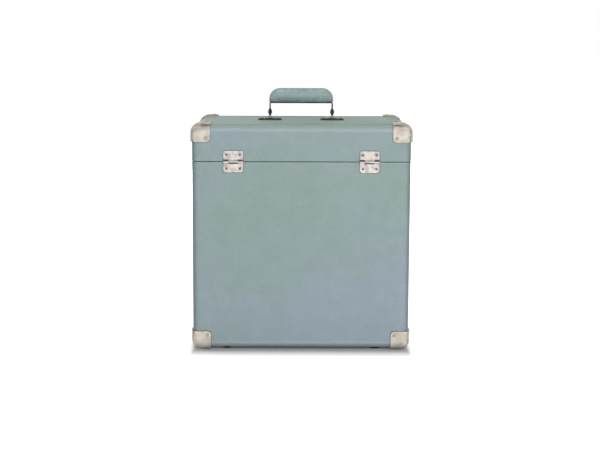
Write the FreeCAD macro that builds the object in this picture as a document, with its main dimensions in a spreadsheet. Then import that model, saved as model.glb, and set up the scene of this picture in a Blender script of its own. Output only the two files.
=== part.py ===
"""Record carrying case: a covered wooden box with a hinged lid, draw latches and a folding handle.

The frame is in millimetres, +Z up, with the origin on the floor under the middle of the case.
The hinges are on the -Y side and the latches on the +Y side.
"""

import FreeCAD, Part
import os
import re

import Sketcher

V = FreeCAD.Vector

SIZES = {
    # case
    "case_width": 357,
    "case_depth": 230,
    "base_height": 310,
    "lid_height": 60.5,
    "seam_gap": 0.9,
    "seam_round": 0.9,
    "corner_radius": 14.5,
    "edge_radius": 11.5,
    "board_thickness": 9,
    "cover_thickness": 1,
    "base_cover_rise": 6.5,
    "base_cover_gap": 0.5,
    # lining
    "liner_thickness": 2.5,
    "floor_liner_thickness": 3,
    "lip_height": 8,
    "lip_clearance": 0.8,
    "lid_lining_thickness": 1.2,
    "lid_lining_start": 10,
    # corner guards
    "guard_proud": 2.8,
    "guard_sheet": 1,
    "guard_reach": 33,
    "guard_drop": 31.4,
    "guard_round": 6,
    "guard_slot_width": 1.6,
    "guard_slot_length": 14,
    "guard_notch_length": 3.5,
    "guard_rivet_reach": 26.9,
    "guard_rivet_drop": 25.2,
    # rivets and screws
    "rivet_head_radius": 3.1,
    "rivet_head_height": 0.9,
    "rivet_radius": 1.3,
    "rivet_length": 8,
    "screw_head_radius": 3.2,
    "screw_head_height": 0.85,
    "screw_radius": 1.5,
    "screw_length": 7.5,
    "screw_cross_width": 1.1,
    "screw_cross_length": 4,
    "screw_cross_depth": 0.65,
    # feet
    "foot_height": 4.6,
    "foot_radius": 8.5,
    "foot_taper": 0.7,
    "foot_round": 0.6,
    "foot_recess_radius": 3.8,
    "foot_recess_depth": 2.6,
    "foot_inset_side": 55.5,
    "foot_inset_face": 24.5,
    # hinges
    "hinge_inset": 67.8,
    "hinge_width": 31.8,
    "leaf_height": 17.5,
    "leaf_thickness": 1.2,
    "leaf_upper_round": 1.5,
    "leaf_lower_round": 4.2,
    "knuckle_radius": 2.3,
    "knuckle_gap": 0.4,
    "knuckle_relief": 1.3,
    "centre_knuckle_length": 15.4,
    "hinge_pin_radius": 1.1,
    "hinge_pin_end": 0.5,
    "pin_clearance": 0.05,
    "hinge_screw_x": 11.05,
    "hinge_screw_z": 11.3,
    # handle
    "handle_span": 106.3,
    "strap_thickness": 2.2,
    "strap_width": 12,
    "strap_bend": 1.2,
    "strap_end_round": 5.8,
    "strap_rise": 15,
    "pivot_height": 13.6,
    "grip_height": 23.4,
    "grip_depth": 25.6,
    "grip_overhang": 0.3,
    "grip_corner_radius": 18.5,
    "grip_top_round": 10,
    "grip_under_round": 3,
    "bracket_length": 40,
    "bracket_depth": 24,
    "bracket_thickness": 1.8,
    "bracket_round": 4,
    "platform_length": 17,
    "platform_depth": 14,
    "platform_height": 1,
    "ear_thickness": 0.9,
    "ear_clearance": 0.1,
    "ear_radius": 5.5,
    "pivot_rivet_radius": 1.6,
    "pivot_head_radius": 3,
    "pivot_head_height": 1.2,
    "bracket_screw_x": 14,
    "bracket_screw_y": 7.5,
    # latches
    "latch_inset": 78.5,
    "latch_base_width": 26,
    "latch_base_top": 8,
    "latch_base_bottom": 38,
    "latch_plate_thickness": 1.2,
    "latch_plate_round": 3,
    "latch_pivot_stand": 5,
    "latch_pivot_drop": 14,
    "latch_pin_radius": 1,
    "latch_ear_radius": 2,
    "latch_ear_thickness": 1.2,
    "latch_ear_x": 4.4,
    "lever_half_width": 6.8,
    "lever_flange_thickness": 1,
    "lever_sheet": 1,
    "lever_gap": 2.7,
    "lever_top": 0.6,
    "lever_length": 26,
    "lever_round": 3,
    "latch_rivet_x": 8.6,
    "latch_rivet_drop": 31,
    "latch_rivet_high_drop": 17.5,
    "wire_radius": 1.1,
    "wire_bend": 2.6,
    "loop_stand": 3.4,
    "loop_half_width": 8.7,
    "loop_pivot_rise": 9,
    "loop_bar_drop": 22,
    "cam_clearance": 0.08,
    "hanger_width": 26,
    "hanger_bottom": 3,
    "hanger_top": 19,
    "barrel_radius": 2.2,
    "barrel_half_length": 5.6,
    "hanger_rivet_rise": 15,
    # one overrun serves all cuts
    "overrun": 3,
}

# Places that many pieces share, worked out from the sizes
HALF_WIDTH = "case_width / 2"
HALF_DEPTH = "case_depth / 2"
HINGE_X = f"({HALF_WIDTH} - hinge_inset)"
LATCH_X = f"({HALF_WIDTH} - latch_inset)"
UNDER = "foot_height"
SEAM = "(foot_height + base_height)"
TOP = "(foot_height + base_height + lid_height)"
WALL = "(cover_thickness + board_thickness)"
INNER_X = f"({HALF_WIDTH} - {WALL})"
INNER_Y = f"({HALF_DEPTH} - {WALL})"
LID_CEILING = f"({TOP} - {WALL})"
BODY_FLOOR = f"({UNDER} + {WALL})"
BODY_RIM = f"({SEAM} - seam_gap / 2)"
LID_RIM = f"({SEAM} + seam_gap / 2)"
HINGE_AXIS_Y = f"(-{HALF_DEPTH} - knuckle_radius)"
LATCH_PIVOT_Y = f"({HALF_DEPTH} + latch_pivot_stand)"
LATCH_PIVOT_Z = f"({SEAM} - latch_pivot_drop)"
LOOP_Y = f"({HALF_DEPTH} + loop_stand)"
LOOP_PIVOT_Z = f"({SEAM} + loop_pivot_rise)"
LOOP_BAR_Z = f"({SEAM} - loop_bar_drop)"
HANDLE_PIVOT_Z = f"({TOP} + pivot_height)"

# How much of a dome-headed fastener's head height is its dome, and the guards' slots' slant
DOME_SHARE = 0.85
BEVEL = 45

SIDES = {"left": -1, "right": 1}
FACES = {"back": -1, "front": 1}
TURNS = {
    "up": (V(1, 0, 0), 0),
    "down": (V(1, 0, 0), 180),
    "back": (V(1, 0, 0), 90),
    "front": (V(1, 0, 0), -90),
    "right": (V(0, 1, 0), 90),
    "left": (V(0, 1, 0), -90),
}

doc = FreeCAD.newDocument("record_case")
sheet = doc.addObject("Spreadsheet::Sheet", "Sizes")
for row, (alias, value) in enumerate(SIZES.items(), start=1):
    sheet.set(f"A{row}", alias)
    sheet.set(f"B{row}", str(value))
    sheet.setAlias(f"B{row}", alias)
doc.recompute()

NODES = {}


def rule(text):
    """Turn words of the sheet into expressions that read its cells."""
    return re.sub(r"[a-z][a-z_]+", lambda m: f"Sizes.{m[0]}" if m[0] in SIZES else m[0], str(text))


def size(text):
    """Work out the present value of a rule."""
    return float(sheet.evalExpression(rule(text)))


def bind(item, **rules):
    """Bind properties of an object to rules."""
    for name, text in rules.items():
        item.setExpression(name, rule(text))
    return item


def place(item, x="0", y="0", z="0", facing="up"):
    """Place an object at rules and turn its +Z axis to face a side."""
    axis, degrees = TURNS[facing]
    item.Placement = FreeCAD.Placement(V(), FreeCAD.Rotation(axis, degrees))
    for letter, text in (("x", x), ("y", y), ("z", z)):
        item.setExpression(f"Placement.Base.{letter}", rule(text))
    return item


def box(name, x, y, z):
    """Make a box between pairs of rules along each axis."""
    item = doc.addObject("Part::Box", name)
    bind(item, Length=f"{x[1]} - ({x[0]})", Width=f"{y[1]} - ({y[0]})", Height=f"{z[1]} - ({z[0]})")
    return place(item, x[0], y[0], z[0])


def span(half):
    """Give the pair of rules from minus to plus a half size."""
    return f"-({half})", f"({half})"


def rod(name, radius, x, y, z):
    """Make a cylinder along X between a pair of rules, at a place in Y and Z."""
    item = doc.addObject("Part::Cylinder", name)
    bind(item, Radius=radius, Height=f"{x[1]} - ({x[0]})")
    return place(item, x[0], y, z, "right")


def cut(name, base, *tools):
    """Cut tools from a base."""
    item = doc.addObject("Part::Cut", name)
    item.Base = base
    item.Tool = tools[0] if len(tools) == 1 else fuse(f"{name}_tools", *tools)
    return item


def common(name, base, tool):
    """Keep what two objects share."""
    item = doc.addObject("Part::Common", name)
    item.Base = base
    item.Tool = tool
    return item


def fuse(name, *items):
    """Join objects that touch or overlap."""
    item = doc.addObject("Part::MultiFuse", name)
    item.Shapes = list(items)
    item.Refine = True
    return item


def group(name, *items):
    """Gather separate solids under one name."""
    item = doc.addObject("Part::Compound", name)
    item.Links = list(items)
    return item


def copy(source, name):
    """Make a placeable copy of an object."""
    item = doc.addObject("App::Link", name)
    item.LinkedObject = source
    return item


def mirror(name, source, normal, z="0"):
    """Mirror an object in a plane through the Z axis, or across a height."""
    item = doc.addObject("Part::Mirroring", name)
    item.Source = source
    item.Normal = normal
    item.setExpression("Base.z", rule(z))
    return item


def rounded(name, base, choose, radius):
    """Round the edges that a test chooses."""
    doc.recompute()
    item = doc.addObject("Part::Fillet", name)
    item.Base = base
    amount = size(radius)
    edges = enumerate(base.Shape.Edges, start=1)
    item.Edges = [(number, amount, amount) for number, edge in edges if choose(edge)]
    return item


def node(name, item):
    """Record an object as one named piece of the case."""
    item.Label = name
    NODES[name] = item
    return item


def runs_along(edge, letter):
    """Say whether a straight edge runs along an axis."""
    if edge.Curve.TypeId != "Part::GeomLine":
        return False
    return abs(getattr(edge.tangentAt(edge.FirstParameter), letter)) > 1 - Part.Precision.confusion()


def lies_at(edge, letter, text):
    """Say whether an edge's middle lies at a place along an axis."""
    reach = Part.Precision.approximation()
    return abs(getattr(edge.BoundBox.Center, letter) - size(text)) < reach


def edges_at(letter, text):
    """Make a test for edges that lie at a place along an axis."""
    return lambda edge: lies_at(edge, letter, text)


def edges_along(run, letter, text):
    """Make a test for straight edges that run along one axis and lie at a place along another."""
    return lambda edge: runs_along(edge, run) and lies_at(edge, letter, text)


def origin_part(body, role):
    """Find a plane or axis of a body's own origin."""
    return next(part for part in body.Origin.OriginFeatures if part.Role == role)


def outline(body, name, plane, points):
    """Draw a closed outline of straight lines whose corners follow rules."""
    sketch = body.newObject("Sketcher::SketchObject", name)
    sketch.AttachmentSupport = (origin_part(body, plane), [""])
    sketch.MapMode = "FlatFace"
    places = [V(size(x), size(y), 0) for x, y in points]
    count = len(places)
    for here in range(count):
        sketch.addGeometry(Part.LineSegment(places[here], places[(here + 1) % count]))
    for here in range(count):
        after = (here + 1) % count
        sketch.addConstraint(Sketcher.Constraint("Coincident", here, 2, after, 1))
    for here, rules in enumerate(points):
        for kind, axis, text, now in zip("XY", (-2, -1), rules, places[here]):
            if text == "0":
                sketch.addConstraint(Sketcher.Constraint("PointOnObject", here, 1, axis))
                continue
            number = sketch.addConstraint(Sketcher.Constraint(f"Distance{kind}", -1, 1, here, 1, now))
            sketch.setExpression(f"Constraints[{number}]", rule(text))
    return sketch


def body_fillet(body, name, choose, radius):
    """Round edges of a body's latest feature."""
    doc.recompute()
    base = body.Tip
    feature = body.newObject("PartDesign::Fillet", name)
    edges = enumerate(base.Shape.Edges, start=1)
    feature.Base = (base, [f"Edge{number}" for number, edge in edges if choose(edge)])
    return bind(feature, Radius=radius)


def padded(name, plane, points, length):
    """Pad an outline to both sides of its plane."""
    body = doc.addObject("PartDesign::Body", name)
    pad = body.newObject("PartDesign::Pad", f"{name}_pad")
    pad.Profile = outline(body, f"{name}_outline", plane, points)
    pad.SideType = "Symmetric"
    bind(pad, Length=length)
    return body


def turned(name, points):
    """Turn an outline of radius and height about the Z axis."""
    body = doc.addObject("PartDesign::Body", name)
    turn = body.newObject("PartDesign::Revolution", f"{name}_turn")
    turn.Profile = outline(body, f"{name}_outline", "XZ_Plane", points)
    turn.ReferenceAxis = (origin_part(body, "Z_Axis"), [""])
    turn.Angle = 360
    return body


def case_block(name, inset):
    """Make the whole closed case's rounded block, set in from the covering by a rule."""
    half_x = f"({HALF_WIDTH} - ({inset}))"
    low, high = f"{UNDER} + ({inset})", f"{TOP} - ({inset})"
    corners = [(f"-{half_x}", low), (half_x, low), (half_x, high), (f"-{half_x}", high)]
    body = padded(name, "XZ_Plane", corners, f"case_depth - 2 * ({inset})")
    body_fillet(body, f"{name}_corners", lambda edge: runs_along(edge, "y"), f"corner_radius - ({inset})")
    face = f"{HALF_DEPTH} - ({inset})"

    def on_faces(edge):
        """Say whether an edge lies in the front or the back face."""
        return lies_at(edge, "y", face) or lies_at(edge, "y", f"-({face})")

    body_fillet(body, f"{name}_edges", on_faces, f"edge_radius - ({inset})")
    return body


# Blocks that the shells and guards are cut from
cover_block = case_block("cover_block", "0")
board_block = case_block("board_block", "cover_thickness")
guard_block = case_block("guard_block", "-guard_proud")
void_block = case_block("void_block", "guard_sheet - guard_proud")

WIDE_X = span(f"{HALF_WIDTH} + overrun")
WIDE_Y = span(f"{HALF_DEPTH} + overrun")

# Fastener patterns, each turned once and copied to its places
rivet = turned(
    "rivet",
    [
        ("0", "rivet_head_height"),
        ("rivet_head_radius", "rivet_head_height"),
        ("rivet_head_radius", "0"),
        ("rivet_radius", "0"),
        ("rivet_radius", "-rivet_length"),
        ("0", "-rivet_length"),
    ],
)
body_fillet(rivet, "rivet_dome", edges_at("z", "rivet_head_height"), f"rivet_head_height * {DOME_SHARE}")

screw_blank = turned(
    "screw_blank",
    [
        ("0", "screw_head_height"),
        ("screw_head_radius", "screw_head_height"),
        ("screw_head_radius", "0"),
        ("screw_radius", "0"),
        ("screw_radius", "-screw_length"),
        ("0", "-screw_length"),
    ],
)
body_fillet(
    screw_blank, "screw_dome", edges_at("z", "screw_head_height"), f"screw_head_height * {DOME_SHARE}"
)
CROSS_Z = ("screw_head_height - screw_cross_depth", "screw_head_height + overrun")
CROSS_LONG = span("screw_cross_length / 2")
CROSS_THIN = span("screw_cross_width / 2")
screw = cut(
    "screw",
    screw_blank,
    box("cross_bar_x", CROSS_LONG, CROSS_THIN, CROSS_Z),
    box("cross_bar_y", CROSS_THIN, CROSS_LONG, CROSS_Z),
)


def placed(source, name, x, y, z, facing):
    """Copy a fastener to a place, with its head facing a side."""
    return place(copy(source, name), x, y, z, facing)


# Rivets of the corner guards, three to a guard
GUARD_OUT_X = f"({HALF_WIDTH} + guard_proud)"
GUARD_OUT_Y = f"({HALF_DEPTH} + guard_proud)"
LEVELS = {
    "lower": (f"({UNDER} - guard_proud)", 1, "down"),
    "upper": (f"({TOP} + guard_proud)", -1, "up"),
}


def guard_rivets(level):
    """Place the rivets of the four guards at one level."""
    out_z, inward, facing_z = LEVELS[level]
    rivet_z = f"{out_z} + {inward} * guard_rivet_drop"
    rivets = []
    for side, sx in SIDES.items():
        for face, sy in FACES.items():
            name = f"rivet_{level}_{face}_{side}"
            in_x = f"{sx} * ({GUARD_OUT_X} - guard_rivet_reach)"
            in_y = f"{sy} * ({GUARD_OUT_Y} - guard_rivet_reach)"
            out_x, out_y = f"{sx} * {GUARD_OUT_X}", f"{sy} * {GUARD_OUT_Y}"
            rivets.append(placed(rivet, f"{name}_face", in_x, out_y, rivet_z, face))
            rivets.append(placed(rivet, f"{name}_side", out_x, in_y, rivet_z, side))
            rivets.append(placed(rivet, f"{name}_end", in_x, in_y, out_z, facing_z))
    return node(f"{level}_guard_rivets", group(f"{level}_guard_rivets", *rivets))


lower_guard_rivets = guard_rivets("lower")
upper_guard_rivets = guard_rivets("upper")


# Screws of the hinges
def hinge_screws(level, direction):
    """Place the two screws of each hinge leaf at one level."""
    screws = []
    for side, sx in SIDES.items():
        for hand in SIDES.values():
            x = f"{sx} * {HINGE_X} + {hand} * hinge_screw_x"
            z = f"{SEAM} + {direction} * hinge_screw_z"
            y = f"-{HALF_DEPTH} - leaf_thickness"
            screws.append(placed(screw, f"hinge_screw_{level}_{side}_{hand + 1}", x, y, z, "back"))
    name = f"hinge_{level}_screws"
    return node(name, group(name, *screws))


hinge_lower_screws = hinge_screws("lower", -1)
hinge_upper_screws = hinge_screws("upper", 1)

# Screws of the handle brackets
bracket_screws = []
for side, sx in SIDES.items():
    for hand in SIDES.values():
        for toward in FACES.values():
            x = f"{sx} * handle_span / 2 + {hand} * bracket_screw_x"
            y = f"{toward} * bracket_screw_y"
            z = f"{TOP} + bracket_thickness"
            name = f"bracket_screw_{side}_{hand + 1}_{toward + 1}"
            bracket_screws.append(placed(screw, name, x, y, z, "up"))
handle_bracket_screws = node("handle_bracket_screws", group("handle_bracket_screws", *bracket_screws))

# Rivets of the latches
LATCH_SKIN_Y = f"{HALF_DEPTH} + latch_plate_thickness"
base_rivets, hanger_rivets = [], []
for side, sx in SIDES.items():
    for hand in (-1, 0, 1):
        x = f"{sx} * {LATCH_X} + {hand} * latch_rivet_x"
        drop = "latch_rivet_drop" if hand else "latch_rivet_high_drop"
        z = f"{SEAM} - {drop}"
        base_rivets.append(placed(rivet, f"base_rivet_{side}_{hand + 1}", x, LATCH_SKIN_Y, z, "front"))
        if hand:
            name, z = f"hanger_rivet_{side}_{hand + 1}", f"{SEAM} + hanger_rivet_rise"
            hanger_rivets.append(placed(rivet, name, x, LATCH_SKIN_Y, z, "front"))
latch_base_rivets = node("latch_base_rivets", group("latch_base_rivets", *base_rivets))
latch_hanger_rivets = node("latch_hanger_rivets", group("latch_hanger_rivets", *hanger_rivets))

# Feet, with a screw up through each into the bottom board
foot = turned(
    "foot",
    [
        ("foot_recess_radius", "0"),
        ("foot_radius - foot_taper", "0"),
        ("foot_radius", "foot_height"),
        ("screw_radius", "foot_height"),
        ("screw_radius", "foot_recess_depth"),
        ("foot_recess_radius", "foot_recess_depth"),
    ],
)
body_fillet(
    foot,
    "foot_edge",
    lambda edge: lies_at(edge, "z", "0") and edge.Curve.TypeId == "Part::GeomCircle"
    and edge.Curve.Radius > size("foot_recess_radius + foot_round"),
    "foot_round",
)
foot_screw_list = []
for side, sx in SIDES.items():
    for face, sy in FACES.items():
        x = f"{sx} * ({HALF_WIDTH} - foot_inset_side)"
        y = f"{sy} * ({HALF_DEPTH} - foot_inset_face)"
        name = f"foot_{face}_{side}"
        node(name, place(copy(foot, name), x, y))
        foot_screw_list.append(placed(screw, f"{name}_screw", x, y, "foot_recess_depth", "down"))
foot_screws = node("foot_screws", group("foot_screws", *foot_screw_list))

# Shells: covering and boards of the lid
LID_OVER = f"{TOP} + overrun"
lid_zone = box("lid_zone", WIDE_X, WIDE_Y, (LID_RIM, LID_OVER))
lid_core_zone = box("lid_core_zone", WIDE_X, WIDE_Y, (f"{LID_RIM} + cover_thickness", LID_OVER))
lid_hollow = box("lid_hollow", span(INNER_X), span(INNER_Y), (f"{SEAM} - overrun", LID_CEILING))
lid_fasteners = [
    upper_guard_rivets, hinge_upper_screws, handle_bracket_screws, latch_hanger_rivets,
]
lid_core = common("lid_core", board_block, lid_core_zone)
lid_skin_blank = common("lid_skin_blank", cover_block, lid_zone)
lid_skin = rounded("lid_skin", lid_skin_blank, edges_at("z", LID_RIM), "seam_round")
lid_covering = node("lid_covering", cut("lid_covering", lid_skin, lid_core, lid_hollow, *lid_fasteners))
lid_shell = cut("lid_shell", lid_core, lid_hollow, *lid_fasteners)

# Shells: covering and boards of the body
BODY_UNDER = f"{UNDER} - overrun"
body_zone = box("body_zone", WIDE_X, WIDE_Y, (BODY_UNDER, BODY_RIM))
body_core_zone = box("body_core_zone", WIDE_X, WIDE_Y, (BODY_UNDER, f"{BODY_RIM} - cover_thickness"))
body_hollow = box("body_hollow", span(INNER_X), span(INNER_Y), (BODY_FLOOR, f"{SEAM} + overrun"))
body_fasteners = [
    lower_guard_rivets, hinge_lower_screws, latch_base_rivets, foot_screws,
]
body_core = common("body_core", board_block, body_core_zone)
body_skin_blank = common("body_skin_blank", cover_block, body_zone)
body_skin_round = rounded("body_skin_round", body_skin_blank, edges_at("z", BODY_RIM), "seam_round")
body_skin = cut("body_skin", body_skin_round, body_core, body_hollow, *body_fasteners)
body_shell = cut("body_shell", body_core, body_hollow, *body_fasteners)

# The base sheet laps up over the walls' lower edge, with a fine joint above it
JOINT_Z = f"{UNDER} + base_cover_rise"
WALL_SHEET_Z = (f"{JOINT_Z} + base_cover_gap", f"{SEAM} + overrun")
base_sheet_zone = box("base_sheet_zone", WIDE_X, WIDE_Y, (BODY_UNDER, JOINT_Z))
wall_sheet_zone = box("wall_sheet_zone", WIDE_X, WIDE_Y, WALL_SHEET_Z)
base_covering = node("base_covering", common("base_covering", body_skin, base_sheet_zone))
body_covering = node("body_covering", common("body_covering", body_skin, wall_sheet_zone))


def boards(level, shell, end_name, end_z, wall_z):
    """Part a shell of board into its five boards, walls first and the closed end last."""
    outer_x, outer_y = f"({HALF_WIDTH} + overrun)", f"({HALF_DEPTH} + overrun)"
    walls = {
        "back": (WIDE_X, (f"-{outer_y}", f"-{INNER_Y}")),
        "front": (WIDE_X, (INNER_Y, outer_y)),
        "left": ((f"-{outer_x}", f"-{INNER_X}"), span(INNER_Y)),
        "right": ((INNER_X, outer_x), span(INNER_Y)),
    }
    for wall, (x, y) in walls.items():
        name = f"{level}_{wall}_board"
        node(name, common(name, shell, box(f"{name}_zone", x, y, wall_z)))
    name = f"{level}_{end_name}_board"
    node(name, common(name, shell, box(f"{name}_zone", WIDE_X, WIDE_Y, end_z)))


boards("lid", lid_shell, "top", (LID_CEILING, LID_OVER), (f"{SEAM} - overrun", LID_CEILING))
boards("body", body_shell, "bottom", (BODY_UNDER, BODY_FLOOR), (BODY_FLOOR, f"{SEAM} + overrun"))

# Lining of the body: stiff panels that stand above the rim and locate the lid
LINER_LOW = f"({BODY_FLOOR} + floor_liner_thickness)"
LIP_TOP = f"{SEAM} + lip_height"
PANEL_Z = (LINER_LOW, BODY_RIM)
LIP_Z = (BODY_RIM, LIP_TOP)
LINED_Y = f"({INNER_Y} - liner_thickness)"
LINED_X = f"({INNER_X} - liner_thickness)"
LIP_Y = f"({INNER_Y} - lip_clearance)"
LIP_X = f"({INNER_X} - lip_clearance)"
node("body_liner_floor", box("body_liner_floor", span(INNER_X), span(INNER_Y), (BODY_FLOOR, LINER_LOW)))
for face, sign in FACES.items():
    name = f"body_liner_{face}"
    wall_y = (LINED_Y, INNER_Y) if sign > 0 else (f"-{INNER_Y}", f"-{LINED_Y}")
    lip_y = (LINED_Y, LIP_Y) if sign > 0 else (f"-{LIP_Y}", f"-{LINED_Y}")
    panel = box(f"{name}_panel", span(INNER_X), wall_y, PANEL_Z)
    node(name, fuse(name, panel, box(f"{name}_lip", span(LIP_X), lip_y, LIP_Z)))
for side, sign in SIDES.items():
    name = f"body_liner_{side}"
    wall_x = (LINED_X, INNER_X) if sign > 0 else (f"-{INNER_X}", f"-{LINED_X}")
    lip_x = (LINED_X, LIP_X) if sign > 0 else (f"-{LIP_X}", f"-{LINED_X}")
    panel = box(f"{name}_panel", wall_x, span(LINED_Y), PANEL_Z)
    node(name, fuse(name, panel, box(f"{name}_lip", lip_x, span(LINED_Y), LIP_Z)))

# Lining of the lid: one thin sheet, clear of the lip below
LINING_LOW = f"{SEAM} + lid_lining_start"
lining_blank = box("lining_blank", span(INNER_X), span(INNER_Y), (LINING_LOW, LID_CEILING))
lining_hollow = box(
    "lining_hollow",
    span(f"{INNER_X} - lid_lining_thickness"),
    span(f"{INNER_Y} - lid_lining_thickness"),
    (f"{SEAM} - overrun", f"{LID_CEILING} - lid_lining_thickness"),
)
lid_lining = node("lid_lining", cut("lid_lining", lining_blank, lining_hollow))


# Corner guards: one pressed sheet shape, made at the upper back right corner and mirrored to the rest
def guard_zone(name, inset):
    """Make the space of one guard's three lobes, set in from their outline by a rule."""
    reach, drop = f"(guard_reach - ({inset}))", f"(guard_drop - ({inset}))"
    x = (f"{GUARD_OUT_X} - {reach}", f"{GUARD_OUT_X} + overrun")
    y = (f"-{GUARD_OUT_Y} - overrun", f"-{GUARD_OUT_Y} + {reach}")
    z = (f"{TOP} + guard_proud - {drop}", f"{TOP} + guard_proud + overrun")
    blank = box(f"{name}_blank", x, y, z)

    def at_inner_corner(edge):
        """Say whether an edge is one of the three that meet at the inner corner."""
        return (
            (runs_along(edge, "x") and lies_at(edge, "y", y[1]) and lies_at(edge, "z", z[0]))
            or (runs_along(edge, "y") and lies_at(edge, "x", x[0]) and lies_at(edge, "z", z[0]))
            or (runs_along(edge, "z") and lies_at(edge, "x", x[0]) and lies_at(edge, "y", y[1]))
        )

    return rounded(name, blank, at_inner_corner, f"guard_round - ({inset})")


guard_lobes = common("guard_lobes", guard_block, guard_zone("guard_lobe_zone", "0"))
guard_void = common("guard_void", void_block, guard_zone("guard_void_zone", "guard_sheet"))
SLOT_DEEP = "edge_radius + guard_proud + overrun"
SLOT_THIN = "guard_slot_width"


def slot(name, length, width, height, at, axis, degrees):
    """Make a slot's box, turned to the bevel of the edge that it opens."""
    item = doc.addObject("Part::Box", name)
    bind(item, Length=length, Width=width, Height=height)
    place(item, *at)
    item.Placement.Rotation = FreeCAD.Rotation(axis, degrees)
    return item


HALF_BEVEL = f"guard_slot_width / 2 * cos({BEVEL})"
slot_x = slot(
    "slot_x", "guard_slot_length + overrun", SLOT_THIN, SLOT_DEEP,
    (
        f"{GUARD_OUT_X} - guard_reach - overrun",
        f"-({HALF_DEPTH} - edge_radius) - {HALF_BEVEL}",
        f"{TOP} - edge_radius - {HALF_BEVEL}",
    ),
    V(1, 0, 0), BEVEL,
)
slot_y = slot(
    "slot_y", SLOT_THIN, "guard_slot_length + overrun", SLOT_DEEP,
    (
        f"{HALF_WIDTH} - corner_radius - {HALF_BEVEL}",
        f"-{GUARD_OUT_Y} + guard_reach - guard_slot_length",
        f"{TOP} - corner_radius + {HALF_BEVEL}",
    ),
    V(0, 1, 0), BEVEL,
)
notch_z = slot(
    "notch_z", SLOT_DEEP, SLOT_THIN, "guard_notch_length + overrun",
    (
        f"{HALF_WIDTH} - edge_radius - {HALF_BEVEL}",
        f"-({HALF_DEPTH} - edge_radius) - {HALF_BEVEL}",
        f"{TOP} + guard_proud - guard_drop - overrun",
    ),
    V(0, 0, 1), -BEVEL,
)
guard_pattern = cut(
    "guard_pattern", guard_lobes, cover_block, guard_void, slot_x, slot_y, notch_z, upper_guard_rivets
)
MIDDLE_Z = f"{UNDER} + (base_height + lid_height) / 2"
guards = {("back", "right"): guard_pattern}
guards["back", "left"] = mirror("guard_back_left_blank", guard_pattern, V(1, 0, 0))
for side in SIDES:
    guards["front", side] = mirror(f"guard_front_{side}_blank", guards["back", side], V(0, 1, 0))
for (face, side), blank in guards.items():
    node(f"guard_upper_{face}_{side}", blank)
    name = f"guard_lower_{face}_{side}"
    node(name, mirror(name, blank, V(0, 0, 1), MIDDLE_Z))

# Hinges: a leaf on the body with two outer knuckles, a leaf on the lid with the centre one, and a pin
PLATE_Y = (f"-{HALF_DEPTH} - leaf_thickness", f"-{HALF_DEPTH}")
KNUCKLE_SPACE = "(knuckle_radius + knuckle_relief)"
HALF_CENTRE = "centre_knuckle_length / 2"
SWEEP_Y = (f"{HINGE_AXIS_Y} - {KNUCKLE_SPACE}", f"-{HALF_DEPTH} + overrun")


def across(centre, low, high):
    """Give a pair of rules along X about a centre."""
    return f"{centre} + ({low})", f"{centre} + ({high})"


def leaf_plate(name, x, z, end, corner):
    """Make a hinge leaf's flat plate with its two outer corners rounded."""
    blank = box(f"{name}_plate_blank", x, PLATE_Y, z)
    return rounded(f"{name}_plate", blank, edges_along("y", "z", end), corner)


for side, sx in SIDES.items():
    centre = f"{sx} * {HINGE_X}"
    full = across(centre, "-hinge_width / 2", "hinge_width / 2")
    middle = across(centre, f"-{HALF_CENTRE}", HALF_CENTRE)
    below = (f"{SEAM} - leaf_height", SEAM)
    above = (SEAM, f"{SEAM} + leaf_height")

    name = f"hinge_lower_leaf_{side}"
    plate = leaf_plate(name, full, below, below[0], "leaf_lower_round")
    knuckles = rod(f"{name}_knuckles", "knuckle_radius", full, HINGE_AXIS_Y, SEAM)
    window_x = across(centre, f"-({HALF_CENTRE} + knuckle_gap)", f"{HALF_CENTRE} + knuckle_gap")
    window_z = (f"{SEAM} - {KNUCKLE_SPACE}", f"{SEAM} + {KNUCKLE_SPACE}")
    window = box(f"{name}_window", window_x, SWEEP_Y, window_z)
    pin_hole = rod(f"{name}_pin_hole", "hinge_pin_radius", full, HINGE_AXIS_Y, SEAM)
    joined = fuse(f"{name}_blank", plate, knuckles)
    node(name, cut(name, joined, window, pin_hole, hinge_lower_screws))

    name = f"hinge_upper_leaf_{side}"
    plate = leaf_plate(name, full, above, above[1], "leaf_upper_round")
    knuckle = rod(f"{name}_knuckle", "knuckle_radius", middle, HINGE_AXIS_Y, SEAM)
    clear_z = (f"{SEAM} - overrun", f"{SEAM} + {KNUCKLE_SPACE}")
    clear_left = box(f"{name}_clear_left", (f"{full[0]} - overrun", middle[0]), SWEEP_Y, clear_z)
    clear_right = box(f"{name}_clear_right", (middle[1], f"{full[1]} + overrun"), SWEEP_Y, clear_z)
    running = rod(f"{name}_pin_hole", "hinge_pin_radius + pin_clearance", full, HINGE_AXIS_Y, SEAM)
    joined = fuse(f"{name}_blank", plate, knuckle)
    node(name, cut(name, joined, clear_left, clear_right, running, hinge_upper_screws))

    name = f"hinge_pin_{side}"
    ends = across(centre, "-hinge_width / 2 - hinge_pin_end", "hinge_width / 2 + hinge_pin_end")
    node(name, rod(name, "hinge_pin_radius", ends, HINGE_AXIS_Y, SEAM))

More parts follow.
